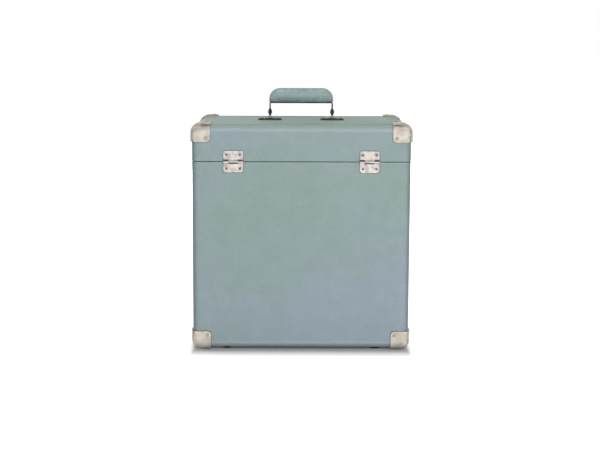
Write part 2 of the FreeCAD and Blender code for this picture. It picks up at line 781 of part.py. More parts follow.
# Handle: a bent steel strap under a covered grip, swinging between the ears of two brackets
LEG_OUT = "(handle_span / 2 + strap_thickness / 2)"
LEG_IN = "(handle_span / 2 - strap_thickness / 2)"
STRAP_LOW = f"({HANDLE_PIVOT_Z} - strap_width / 2)"
STRAP_UNDER = f"({HANDLE_PIVOT_Z} + strap_rise)"
STRAP_OVER = f"({STRAP_UNDER} + strap_thickness)"
STEEL_BEND = "(strap_bend + strap_thickness)"
handle_strap = padded(
    "handle_strap",
    "XZ_Plane",
    [
        (f"-{LEG_OUT}", STRAP_LOW),
        (f"-{LEG_IN}", STRAP_LOW),
        (f"-{LEG_IN}", STRAP_UNDER),
        (LEG_IN, STRAP_UNDER),
        (LEG_IN, STRAP_LOW),
        (LEG_OUT, STRAP_LOW),
        (LEG_OUT, STRAP_OVER),
        (f"-{LEG_OUT}", STRAP_OVER),
    ],
    "strap_width",
)
body_fillet(handle_strap, "strap_outer_bend", edges_along("y", "z", STRAP_OVER), STEEL_BEND)
body_fillet(handle_strap, "strap_inner_bend", edges_along("y", "z", STRAP_UNDER), "strap_bend")
body_fillet(handle_strap, "strap_ends", edges_along("x", "z", STRAP_LOW), "strap_end_round")
pivot_hole = rod(
    "pivot_hole", "pivot_rivet_radius + pin_clearance", span(f"{LEG_OUT} + overrun"), "0", HANDLE_PIVOT_Z
)
node("handle_strap", cut("handle_strap_bored", handle_strap, pivot_hole))

GRIP_X = f"({LEG_OUT} + grip_overhang)"
GRIP_TOP = f"({STRAP_OVER} + grip_height)"
grip = padded(
    "handle_grip",
    "XZ_Plane",
    [
        (f"-{GRIP_X}", STRAP_OVER),
        (GRIP_X, STRAP_OVER),
        (GRIP_X, GRIP_TOP),
        (f"-{GRIP_X}", GRIP_TOP),
    ],
    "grip_depth",
)
body_fillet(grip, "grip_corners", edges_along("y", "z", GRIP_TOP), "grip_corner_radius")


def on_grip_face(edge):
    """Say whether an edge outlines the grip's front or back face, above its underside."""
    on_face = lies_at(edge, "y", "grip_depth / 2") or lies_at(edge, "y", "-grip_depth / 2")
    return on_face and not lies_at(edge, "z", STRAP_OVER)


body_fillet(grip, "grip_crown", on_grip_face, "grip_top_round")
body_fillet(grip, "grip_underside", edges_at("z", STRAP_OVER), "grip_under_round")
node("handle_grip", grip)

EAR_NEAR = "(strap_thickness / 2 + ear_clearance)"
EAR_FAR = f"({EAR_NEAR} + ear_thickness)"
HEAD_END = f"({EAR_FAR} + pivot_head_height)"
pivot_rivet = turned(
    "pivot_rivet",
    [
        ("0", HEAD_END),
        ("pivot_head_radius", HEAD_END),
        ("pivot_head_radius", EAR_FAR),
        ("pivot_rivet_radius", EAR_FAR),
        ("pivot_rivet_radius", f"-{EAR_FAR}"),
        ("pivot_head_radius", f"-{EAR_FAR}"),
        ("pivot_head_radius", f"-{HEAD_END}"),
        ("0", f"-{HEAD_END}"),
    ],
)
body_fillet(
    pivot_rivet,
    "pivot_rivet_domes",
    lambda edge: lies_at(edge, "z", HEAD_END) or lies_at(edge, "z", f"-{HEAD_END}"),
    f"pivot_head_height * {DOME_SHARE}",
)
handle_rivets = []
for side, sx in SIDES.items():
    name = f"pivot_rivet_{side}"
    handle_rivets.append(placed(pivot_rivet, name, f"{sx} * handle_span / 2", "0", HANDLE_PIVOT_Z, "right"))
handle_pivot_rivets = node("handle_pivot_rivets", group("handle_pivot_rivets", *handle_rivets))

PLATE_TOP = f"({TOP} + bracket_thickness)"
for side, sx in SIDES.items():
    name = f"handle_bracket_{side}"
    centre = f"{sx} * handle_span / 2"
    long = across(centre, "-bracket_length / 2", "bracket_length / 2")
    blank = box(f"{name}_plate_blank", long, span("bracket_depth / 2"), (TOP, PLATE_TOP))
    plate = rounded(f"{name}_plate", blank, lambda edge: runs_along(edge, "z"), "bracket_round")
    raised = across(centre, "-platform_length / 2", "platform_length / 2")
    parts = [plate]
    platform_z = (PLATE_TOP, f"{PLATE_TOP} + platform_height")
    parts.append(box(f"{name}_platform", raised, span("platform_depth / 2"), platform_z))
    for hand, ear_x in (("a", (f"-{EAR_FAR}", f"-{EAR_NEAR}")), ("b", (EAR_NEAR, EAR_FAR))):
        x = across(centre, *ear_x)
        parts.append(box(f"{name}_ear_{hand}", x, span("ear_radius"), (PLATE_TOP, HANDLE_PIVOT_Z)))
        parts.append(rod(f"{name}_eye_{hand}", "ear_radius", x, "0", HANDLE_PIVOT_Z))
    node(name, cut(name, fuse(f"{name}_blank", *parts), handle_pivot_rivets, handle_bracket_screws))

# Draw latches: a lever on the body pulls down a wire loop that hangs from the lid
SKIN = (HALF_DEPTH, LATCH_SKIN_Y)
BAR_REACH = (
    "sqrt((latch_pivot_stand - loop_stand) * (latch_pivot_stand - loop_stand)"
    " + (loop_bar_drop - latch_pivot_drop) * (loop_bar_drop - latch_pivot_drop))"
)
CAM_RADIUS = f"({BAR_REACH} - wire_radius - cam_clearance)"
LEVER_IN = f"({LATCH_PIVOT_Y} + lever_gap)"
LEVER_OUT = f"({LEVER_IN} + lever_sheet)"
latch_pins = []
for side, sx in SIDES.items():
    centre = f"{sx} * {LATCH_X}"
    half_base = across(centre, "-latch_base_width / 2", "latch_base_width / 2")
    half_hanger = across(centre, "-hanger_width / 2", "hanger_width / 2")
    half_pin = across(centre, "-lever_half_width", "lever_half_width")

    pin = rod(f"latch_pin_{side}", "latch_pin_radius", half_pin, LATCH_PIVOT_Y, LATCH_PIVOT_Z)
    latch_pins.append(pin)

    name = f"latch_base_{side}"
    base_z = (f"{SEAM} - latch_base_bottom", f"{SEAM} - latch_base_top")
    blank = box(f"{name}_plate_blank", half_base, SKIN, base_z)
    parts = [rounded(f"{name}_plate", blank, lambda edge: runs_along(edge, "y"), "latch_plate_round")]
    for hand in SIDES.values():
        edges = (f"{hand} * latch_ear_x", f"{hand} * (latch_ear_x + latch_ear_thickness)")
        x = across(centre, *(edges if hand > 0 else edges[::-1]))
        foot_z = (f"{LATCH_PIVOT_Z} - latch_ear_radius", f"{LATCH_PIVOT_Z} + latch_ear_radius")
        parts.append(box(f"{name}_ear_{hand + 1}", x, (LATCH_SKIN_Y, LATCH_PIVOT_Y), foot_z))
        parts.append(rod(f"{name}_eye_{hand + 1}", "latch_ear_radius", x, LATCH_PIVOT_Y, LATCH_PIVOT_Z))
    node(name, cut(name, fuse(f"{name}_blank", *parts), pin, latch_base_rivets))

    name = f"latch_lever_{side}"
    web_z = (f"{LATCH_PIVOT_Z} - lever_length", f"{LATCH_PIVOT_Z} + lever_top")
    web_blank = box(f"{name}_web_blank", half_pin, (LEVER_IN, LEVER_OUT), web_z)
    parts = [rounded(f"{name}_web", web_blank, edges_along("y", "z", web_z[0]), "lever_round")]
    disc = rod(f"{name}_cam_disc", CAM_RADIUS, half_pin, LATCH_PIVOT_Y, LATCH_PIVOT_Z)
    cam_y = (f"{LATCH_PIVOT_Y} - latch_ear_radius", LEVER_IN)
    cam_z = (f"{LATCH_PIVOT_Z} - {CAM_RADIUS}", f"{LATCH_PIVOT_Z} + latch_ear_radius")
    cam = common(f"{name}_cam", disc, box(f"{name}_cam_zone", half_pin, cam_y, cam_z))
    inside = across(
        centre, "-(lever_half_width - lever_flange_thickness)", "lever_half_width - lever_flange_thickness"
    )
    channel_y = (f"{cam_y[0]} - overrun", f"{LEVER_IN} + overrun")
    channel_z = (f"{cam_z[0]} - overrun", f"{cam_z[1]} + overrun")
    channel = box(f"{name}_channel", inside, channel_y, channel_z)
    flanges = cut(f"{name}_flanges", cam, channel)
    wide_pin = across(centre, "-lever_half_width - overrun", "lever_half_width + overrun")
    eye = rod(f"{name}_eye", "latch_pin_radius + pin_clearance", wide_pin, LATCH_PIVOT_Y, LATCH_PIVOT_Z)
    node(name, cut(name, fuse(f"{name}_blank", *parts, flanges), eye))

    name = f"latch_hanger_{side}"
    plate_z = (f"{SEAM} + hanger_bottom", f"{SEAM} + hanger_top")
    blank = box(f"{name}_plate_blank", half_hanger, SKIN, plate_z)
    plate = rounded(f"{name}_plate", blank, lambda edge: runs_along(edge, "y"), "latch_plate_round")
    barrel_x = across(centre, "-barrel_half_length", "barrel_half_length")
    barrel = rod(f"{name}_barrel", "barrel_radius", barrel_x, LOOP_Y, LOOP_PIVOT_Z)
    web_y = (LATCH_SKIN_Y, LOOP_Y)
    web = box(f"{name}_web", barrel_x, web_y, (LOOP_PIVOT_Z, f"{LOOP_PIVOT_Z} + barrel_radius"))
    bore = rod(f"{name}_bore", "wire_radius + pin_clearance", wide_pin, LOOP_Y, LOOP_PIVOT_Z)
    node(name, cut(name, fuse(f"{name}_blank", plate, barrel, web), bore, latch_hanger_rivets))

    name = f"latch_loop_{side}"
    straight = "(loop_half_width - wire_bend)"
    wires = []
    for end, z in (("bar", LOOP_BAR_Z), ("top", LOOP_PIVOT_Z)):
        x = across(centre, f"-{straight}", straight)
        wires.append(rod(f"{name}_{end}", "wire_radius", x, LOOP_Y, z))
    for hand in SIDES.values():
        arm = doc.addObject("Part::Cylinder", f"{name}_arm_{hand + 1}")
        bind(arm, Radius="wire_radius", Height="loop_pivot_rise + loop_bar_drop - 2 * wire_bend")
        place(arm, f"{centre} + {hand} * loop_half_width", LOOP_Y, f"{LOOP_BAR_Z} + wire_bend")
        wires.append(arm)
    for hand in SIDES.values():
        ends = (("low", f"{LOOP_BAR_Z} + wire_bend", -1), ("high", f"{LOOP_PIVOT_Z} - wire_bend", 1))
        for end, z, upward in ends:
            bend = doc.addObject("Part::Torus", f"{name}_bend_{end}_{hand + 1}")
            bind(bend, Radius1="wire_bend", Radius2="wire_radius")
            bend.Angle3 = 90
            place(bend, f"{centre} + {hand} * {straight}", LOOP_Y, z)
            quarter = {(1, 1): 0, (-1, 1): 90, (-1, -1): 180, (1, -1): 270}[hand, upward]
            upright = FreeCAD.Rotation(V(1, 0, 0), 90)
            bend.Placement.Rotation = upright.multiply(FreeCAD.Rotation(V(0, 0, 1), quarter))
            wires.append(bend)
    node(name, fuse(name, *wires))
latch_pivot_pins = node("latch_pivot_pins", group("latch_pivot_pins", *latch_pins))

# Check every object, then write each piece to its own file
doc.recompute()
faults = [item.Name for item in doc.Objects if {"Invalid", "Error"} & set(item.State)]
shapes = {name: Part.getShape(item) for name, item in NODES.items()}
for name, shape in shapes.items():
    if shape.isNull() or not shape.isValid() or not shape.Solids:
        faults.append(name)
if faults:
    raise RuntimeError(f"these objects failed: {faults}")
os.makedirs("parts", exist_ok=True)
for name, shape in shapes.items():
    shape.exportStep(os.path.join("parts", f"{name}.step"))
    box_size = shape.BoundBox
    print(f"{name}: {len(shape.Solids)} solids, {shape.Volume:.0f} mm3, "
          f"{box_size.XLength:.1f} x {box_size.YLength:.1f} x {box_size.ZLength:.1f}")
print(len(shapes), "pieces")
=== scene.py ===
"""Looks of a covered record carrying case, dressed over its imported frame.

Lengths are in metres in the case's own frame: +Z up, the hinges on the -Y side, the latches on the +Y side,
and the origin on the floor under the middle of the case.
"""

from __future__ import annotations

import logging
import math
from collections.abc import Callable, Iterable
from dataclasses import dataclass, replace
from enum import Enum

import bmesh
import bpy
from mathutils import Matrix, Vector

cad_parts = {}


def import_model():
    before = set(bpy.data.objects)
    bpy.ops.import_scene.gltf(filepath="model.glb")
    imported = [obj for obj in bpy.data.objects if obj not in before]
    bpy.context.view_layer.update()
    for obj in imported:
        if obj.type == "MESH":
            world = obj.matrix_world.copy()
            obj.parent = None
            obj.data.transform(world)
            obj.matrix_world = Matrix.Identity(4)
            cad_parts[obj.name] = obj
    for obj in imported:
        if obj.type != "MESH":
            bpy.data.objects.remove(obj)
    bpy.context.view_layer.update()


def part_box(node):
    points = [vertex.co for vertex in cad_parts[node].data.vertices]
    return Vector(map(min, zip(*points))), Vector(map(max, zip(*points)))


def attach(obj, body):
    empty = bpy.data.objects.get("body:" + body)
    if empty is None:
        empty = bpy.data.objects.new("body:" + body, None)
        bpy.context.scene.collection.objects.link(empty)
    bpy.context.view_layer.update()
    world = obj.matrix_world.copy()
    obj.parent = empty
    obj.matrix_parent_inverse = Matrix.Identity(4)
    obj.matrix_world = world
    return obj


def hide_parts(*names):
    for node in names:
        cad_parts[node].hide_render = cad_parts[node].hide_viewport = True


LOG = logging.getLogger("record_case")
MM = 0.001
FULL_TURN = 2 * math.pi
WHITE = (1.0, 1.0, 1.0, 1.0)
Colour = tuple[float, float, float, float]
Socket = bpy.types.NodeSocket
Sockets = tuple[Socket, ...]
Block = tuple[tuple[float, ...], tuple[float, ...]]
SIDES = {"left": -1, "right": 1}
FACES = {"back": -1, "front": 1}
LEVELS = {"lower": ("case_body", -1), "upper": ("lid", 1)}
COVERINGS = ("body_covering", "lid_covering", "base_covering")


def tint(red: int, green: int, blue: int) -> Colour:
    """Turn a colour as a screen shows it into a linear one.

    Args:
        red: Red from 0 to 255.
        green: Green from 0 to 255.
        blue: Blue from 0 to 255.

    Returns:
        The linear colour with full alpha.
    """

    def linear(level: int) -> float:
        """Turn one level from 0 to 255 into a linear share of light."""
        share = level / 255
        return share / 12.92 if share <= 0.04045 else ((share + 0.055) / 1.055) ** 2.4

    return linear(red), linear(green), linear(blue), 1.0


def span(*names: str) -> tuple[Vector, Vector]:
    """Give the lowest and the highest corner of the block round some CAD nodes."""
    lows, highs = zip(*(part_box(name) for name in names))
    return Vector(map(min, zip(*lows))), Vector(map(max, zip(*highs)))


def block(*names: str) -> Block:
    """Give the middle and half the size of the block round some CAD nodes."""
    low, high = span(*names)
    return tuple((low + high) / 2), tuple((high - low) / 2)


def beside(offset: float, reach: float) -> list[float]:
    """Give the X of each spot left and right of the middles of the left and right fittings."""
    return [side * offset + hand * reach for side in SIDES.values() for hand in (-1, 1)]


def pin_height() -> float:
    """Give how high the hinge pins lie."""
    return sum(corner[2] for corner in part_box("hinge_pin_left")) / 2


class Facing(Enum):
    """The way that a fastener's head faces."""

    UP = Vector((0, 0, 1))
    DOWN = Vector((0, 0, -1))
    BACK = Vector((0, -1, 0))
    FRONT = Vector((0, 1, 0))
    LEFT = Vector((-1, 0, 0))
    RIGHT = Vector((1, 0, 0))

    def turn(self) -> Matrix:
        """Give the rotation that carries +Z to this way."""
        return Vector((0, 0, 1)).rotation_difference(self.value).to_matrix().to_4x4()


class ShaderTree:
    """Adds nodes to one shader tree and wires them."""

    def __init__(self, tree: bpy.types.NodeTree) -> None:
        """Keep the tree that the nodes go into, and its principled surface if it has one."""
        self.tree = tree
        self.surface = next((node for node in tree.nodes if node.type == "BSDF_PRINCIPLED"), None)

    def add(self, kind: str, feeds: dict[str, object] | None = None, **settings: object) -> bpy.types.Node:
        """Add a node.

        Args:
            kind: The node's type name.
            feeds: Input names with a value or another node's socket for each.
            **settings: Properties of the node.

        Returns:
            The new node.
        """
        node = self.tree.nodes.new(kind)
        for name, value in settings.items():
            setattr(node, name, value)
        self.fill(node, feeds or {})
        return node

    def fill(self, node: bpy.types.Node, feeds: dict[str, object]) -> None:
        """Feed several inputs of a node, by name."""
        for name, value in feeds.items():
            self.feed(node.inputs[name], value)

    def feed(self, socket: Socket, value: object) -> None:
        """Link a socket to another, or set it to a value."""
        if isinstance(value, bpy.types.NodeSocket):
            self.tree.links.new(value, socket)
        else:
            socket.default_value = value

    def coat(self, feeds: dict[str, object]) -> None:
        """Feed several inputs of the principled surface, by name."""
        self.fill(self.surface, feeds)

    def maths(self, operation: str, *values: object, kind: str = "ShaderNodeMath") -> Socket:
        """Add a Math node over values or sockets and give its result."""
        node = self.add(kind, operation=operation)
        for socket, value in zip(node.inputs, values):
            self.feed(socket, value)
        return node.outputs[0]

    def vectors(self, operation: str, *values: object) -> Socket:
        """Add a Vector Math node over values or sockets and give its vector."""
        return self.maths(operation, *values, kind="ShaderNodeVectorMath")

    def times(self, first: object, second: object) -> Socket:
        """Multiply two numbers."""
        return self.maths("MULTIPLY", first, second)

    def length(self, vector: Socket) -> Socket:
        """Give a vector's length."""
        return self.add("ShaderNodeVectorMath", {"Vector": vector}, operation="LENGTH").outputs["Value"]

    def parts(self, vector: Socket) -> Sockets:
        """Give a vector's X, Y and Z."""
        return tuple(self.add("ShaderNodeSeparateXYZ", {"Vector": vector}).outputs)

    def apart(self, first: object, second: object) -> Socket:
        """Give how far two numbers lie apart."""
        return self.maths("ABSOLUTE", self.maths("SUBTRACT", first, second))

    def aside(self, vector: Socket, centre: object) -> Socket:
        """Give how far a place lies from a centre along each axis."""
        return self.vectors("ABSOLUTE", self.vectors("SUBTRACT", vector, centre))

    def scaled(self, vector: Socket, size: object) -> Socket:
        """Divide a vector by a size, so that one step of it is that long."""
        node = self.add("ShaderNodeVectorMath", operation="SCALE")
        self.feed(node.inputs[0], vector)
        self.feed(node.inputs["Scale"], self.maths("DIVIDE", 1.0, size))
        return node.outputs[0]

    def spread(
        self, value: object, low: object, high: object, start: object = 0.0, end: object = 1.0
    ) -> Socket:
        """Carry a range of values smoothly to another.

        Args:
            value: What is carried.
            low: Where the range starts.
            high: Where it ends.
            start: What the low end becomes.
            end: What the high end becomes.

        Returns:
            The carried value.
        """
        feeds = {"Value": value, "From Min": low, "From Max": high, "To Min": start, "To Max": end}
        return self.add("ShaderNodeMapRange", feeds, interpolation_type="SMOOTHSTEP").outputs["Result"]

    def mix(self, share: object, first: object, second: object, blend: str = "MIX") -> Socket:
        """Mix two colours.

        Args:
            share: How much of the second colour there is.
            first: The colour at a share of nought.
            second: The colour at a share of one.
            blend: How they are blended.

        Returns:
            The mixed colour.
        """
        node = self.add("ShaderNodeMix", data_type="RGBA", blend_type=blend)
        self.feed(node.inputs["Factor"], share)
        colours = [socket for socket in node.inputs if socket.type == "RGBA"]
        self.feed(colours[0], first)
        self.feed(colours[1], second)
        return next(socket for socket in node.outputs if socket.type == "RGBA")

    def over(self, mask: object, share: float, first: object, second: object, blend: str = "MIX") -> Socket:
        """Mix two colours by a mask, of which only a share counts."""
        return self.mix(self.times(mask, share), first, second, blend)

    def noise(self, vector: object, size: object, detail: float = 3.0, roughness: float = 0.5) -> Socket:
        """Give smooth noise from 0 to 1 whose patches have a size."""
        feeds = {"Vector": self.scaled(vector, size), "Scale": 1.0, "Detail": detail, "Roughness": roughness}
        return self.add("ShaderNodeTexNoise", feeds).outputs[0]


@dataclass(frozen=True)
class Effect:
    """A shader node group that several finishes place with their own values.

    Attributes:
        name: The group's name.
        takes: Its inputs, each with its socket type and usual value.
        gives: Its outputs.
        wire: Wires the group's nodes and gives a socket for each output.
    """

    name: str
    takes: dict[str, tuple[str, object]]
    gives: tuple[str, ...]
    wire: Callable[..., Sockets]

    def group(self) -> bpy.types.NodeTree:
        """Give the node group, made once."""
        known = bpy.data.node_groups.get(self.name)
        if known:
            return known
        tree = bpy.data.node_groups.new(self.name, "ShaderNodeTree")
        for name, (kind, value) in self.takes.items():
            socket = tree.interface.new_socket(name, in_out="INPUT", socket_type=kind)
            if value is not None:
                socket.default_value = value
        for name in self.gives:
            tree.interface.new_socket(name, in_out="OUTPUT", socket_type="NodeSocketFloat")
        shader = ShaderTree(tree)
        start, end = shader.add("NodeGroupInput"), shader.add("NodeGroupOutput")
        named = {name.lower().replace(" ", "_"): start.outputs[name] for name in self.takes}
        results = self.wire(shader, **named)
        for name, result in zip(self.gives, results):
            shader.feed(end.inputs[name], result)
        return tree

    def place(self, shader: ShaderTree, **feeds: object) -> dict[str, Socket]:
        """Place the group in a material.

        Args:
            shader: The material's tree.
            **feeds: Input names, with underscores for spaces, and their values or sockets.

        Returns:
            The placed group's outputs by name.
        """
        node = shader.add("ShaderNodeGroup", node_tree=self.group())
        for name, value in feeds.items():
            shader.feed(node.inputs[name.replace("_", " ").title()], value)
        return {name: node.outputs[name] for name in self.gives}


NUMBER, VECTOR = "NodeSocketFloat", "NodeSocketVector"
WHERE = {"Vector": (VECTOR, None)}
BLOCK = WHERE | {"Centre": (VECTOR, None), "Half": (VECTOR, None)}


def wire_pebbles(shader: ShaderTree, vector: Socket, cell: Socket) -> Sockets:
    """Wire a leather grain of small uneven pebbles parted by creases."""
    bend_scale, crown_reach, crease_reach = 0.6, 0.34, 0.14
    fine_size, fine_height = 0.25, 0.18
    steps = shader.scaled(vector, cell)
    drift = shader.add("ShaderNodeTexNoise", {"Vector": steps, "Scale": bend_scale})
    bent = shader.vectors("ADD", steps, drift.outputs["Color"])
    cells = shader.add("ShaderNodeTexVoronoi", {"Vector": bent, "Scale": 1.0}, feature="DISTANCE_TO_EDGE")
    crown = shader.spread(cells.outputs["Distance"], 0.0, crown_reach)
    fine = shader.noise(vector, shader.times(cell, fine_size), 2.0)
    height = shader.maths("MULTIPLY_ADD", fine, fine_height, crown)
    crease = shader.spread(cells.outputs["Distance"], 0.0, crease_reach, 1.0, 0.0)
    return height, crease


def wire_drift(shader: ShaderTree, vector: Socket, patch: Socket) -> Sockets:
    """Wire broad uneven patches with softer ones inside them."""
    small_size, small_share, edge = 0.19, 0.22, 0.34
    broad = shader.noise(vector, patch, 2.0)
    small = shader.noise(vector, shader.times(patch, small_size), 4.0, 0.6)
    both = shader.maths("MULTIPLY_ADD", small, small_share, shader.times(broad, 1 - small_share))
    return (shader.spread(both, edge, 1 - edge),)


def wire_edges(shader: ShaderTree, vector: Socket, centre: Socket, half: Socket, band: Socket) -> Sockets:
    """Wire a band along the edges of a block, broken up by noise."""
    ragged_size, ragged_band, reaches = 1.4, (0.3, 0.75), (0.25, 1.5)
    place = shader.aside(vector, centre)
    x, y, z = shader.parts(shader.vectors("SUBTRACT", half, place))
    near, far = shader.maths("MINIMUM", x, y), shader.maths("MAXIMUM", x, y)
    second = shader.maths("MAXIMUM", near, shader.maths("MINIMUM", far, z))
    ragged = shader.noise(vector, shader.times(band, ragged_size), 6.0, 0.65)
    reach = shader.times(band, shader.spread(ragged, *ragged_band, *reaches))
    return (shader.spread(shader.maths("DIVIDE", second, reach), 0.0, 1.0, 1.0, 0.0),)


def wire_scuffs(shader: ShaderTree, vector: Socket, length: Socket) -> Sockets:
    """Wire sparse hair-fine scuffs that run several ways."""
    hair_size, hair_band, patch_band = 0.03, (0.7, 0.78), (0.5, 0.62)
    marks = []
    for squeeze in ((1.0, 0.06, 0.4), (0.08, 1.0, 0.7), (0.5, 0.3, 0.05)):
        drawn = shader.vectors("MULTIPLY", vector, squeeze)
        lines = shader.noise(drawn, shader.times(length, hair_size), 1.0)
        where = shader.noise(vector, length, 1.0)
        marks.append(shader.times(shader.spread(lines, *hair_band), shader.spread(where, *patch_band)))
    return (shader.maths("MAXIMUM", marks[0], shader.maths("MAXIMUM", marks[1], marks[2])),)


def wire_weave(shader: ShaderTree, vector: Socket, pitch: Socket) -> Sockets:
    """Wire a plain weave that shows on a face of any direction."""
    slub_threads, heights = 6.0, (-1.0, 1.5)
    turned = shader.scaled(vector, shader.maths("DIVIDE", pitch, FULL_TURN))
    x, y, z = (shader.maths("SINE", part) for part in shader.parts(turned))
    pairs = [shader.times(x, y), shader.times(y, z), shader.times(z, x)]
    height = shader.maths("ADD", pairs[0], shader.maths("ADD", pairs[1], pairs[2]))
    slub = shader.noise(vector, shader.times(pitch, slub_threads), 3.0)
    return shader.spread(height, *heights), slub


def wire_zones(shader: ShaderTree, vector: Socket, centre: Socket, half: Socket, band: Socket) -> Sockets:
    """Wire the zones of a block: upright edges, under the top edge, low down and the top itself."""
    brow_rise, brow_fall = (3.5 * MM, 8 * MM), (9 * MM, 14 * MM)
    low_shares, crown_fall = (-0.75, 0.25), (1.5 * MM, 7 * MM)
    offset = shader.vectors("SUBTRACT", vector, centre)
    inward = shader.vectors("SUBTRACT", half, shader.vectors("ABSOLUTE", offset))
    x, y, z = shader.parts(inward)
    upright = shader.spread(shader.maths("MAXIMUM", x, y), 0.0, band, 1.0, 0.0)
    brow_highlight = shader.times(shader.spread(z, *brow_rise), shader.spread(z, *brow_fall, 1.0, 0.0))
    height, whole = shader.parts(offset)[2], shader.parts(half)[2]
    low = shader.spread(shader.maths("DIVIDE", height, whole), *low_shares, 1.0, 0.0)
    crown = shader.spread(shader.maths("SUBTRACT", whole, height), *crown_fall, 1.0, 0.0)
    return upright, brow_highlight, low, crown


def wire_verge(
    shader: ShaderTree, vector: Socket, centre: Socket, half: Socket, round_off: Socket, reach: Socket
) -> Sockets:
    """Wire painted shade round a fitting: full under its box and fading outside, ragged by noise."""
    ragged_size, ragged_band, reaches = 3 * MM, (0.3, 0.7), (0.75, 1.25)
    place = shader.aside(vector, centre)
    beyond = shader.vectors("MAXIMUM", shader.vectors("SUBTRACT", place, half), (0, 0, 0))
    ragged = shader.noise(vector, ragged_size, 3.0)
    edge = shader.maths("MULTIPLY_ADD", reach, shader.spread(ragged, *ragged_band, *reaches), round_off)
    return (shader.spread(shader.length(beyond), round_off, edge, 1.0, 0.0),)


PEBBLES = Effect("pebble grain", WHERE | {"Cell": (NUMBER, MM)}, ("Height", "Crease"), wire_pebbles)
DRIFT = Effect("tone drift", WHERE | {"Patch": (NUMBER, 0.1)}, ("Amount",), wire_drift)
# This edge band serves rubbed wear and painted highlight on the leatherette, and painted shade on the
# guards.
EDGES = Effect("edge wear and painted light", BLOCK | {"Band": (NUMBER, 4 * MM)}, ("Mask",), wire_edges)
SCUFFS = Effect("scuffs", WHERE | {"Length": (NUMBER, 0.03)}, ("Mask",), wire_scuffs)
WEAVE = Effect("plain weave", WHERE | {"Pitch": (NUMBER, MM)}, ("Height", "Slub"), wire_weave)
ZONES = Effect(
    "block zones", BLOCK | {"Band": (NUMBER, 9 * MM)}, ("Upright", "Brow", "Low", "Crown"), wire_zones
)
# Painted shade round a fitting, where it meets the covering.
VERGE = Effect(
    "fitting verge", BLOCK | {"Round Off": (NUMBER, 0.0), "Reach": (NUMBER, MM)}, ("Mask",), wire_verge
)


@dataclass(frozen=True)
class Finish:
    """What every finish shares: a named material with one principled shader.

    Attributes:
        title: The material's name.
    """

    title: str

    def material(self) -> bpy.types.Material:
        """Give the finish's material, made once."""
        known = bpy.data.materials.get(self.title)
        if known:
            return known
        made = bpy.data.materials.new(self.title)
        made.use_nodes = True
        shader = ShaderTree(made.node_tree)
        self.wire(shader, shader.add("ShaderNodeTexCoord").outputs["Object"])
        return made

    def wire(self, shader: ShaderTree, where: Socket) -> None:
        """Wire the finish's own nodes into its surface."""
        raise NotImplementedError

    @staticmethod
    def emboss(shader: ShaderTree, height: Socket, depth: float) -> None:
        """Feed a height in metres of depth to the surface's normal."""
        bump = shader.add("ShaderNodeBump", {"Height": height, "Distance": depth})
        shader.coat({"Normal": bump.outputs["Normal"]})


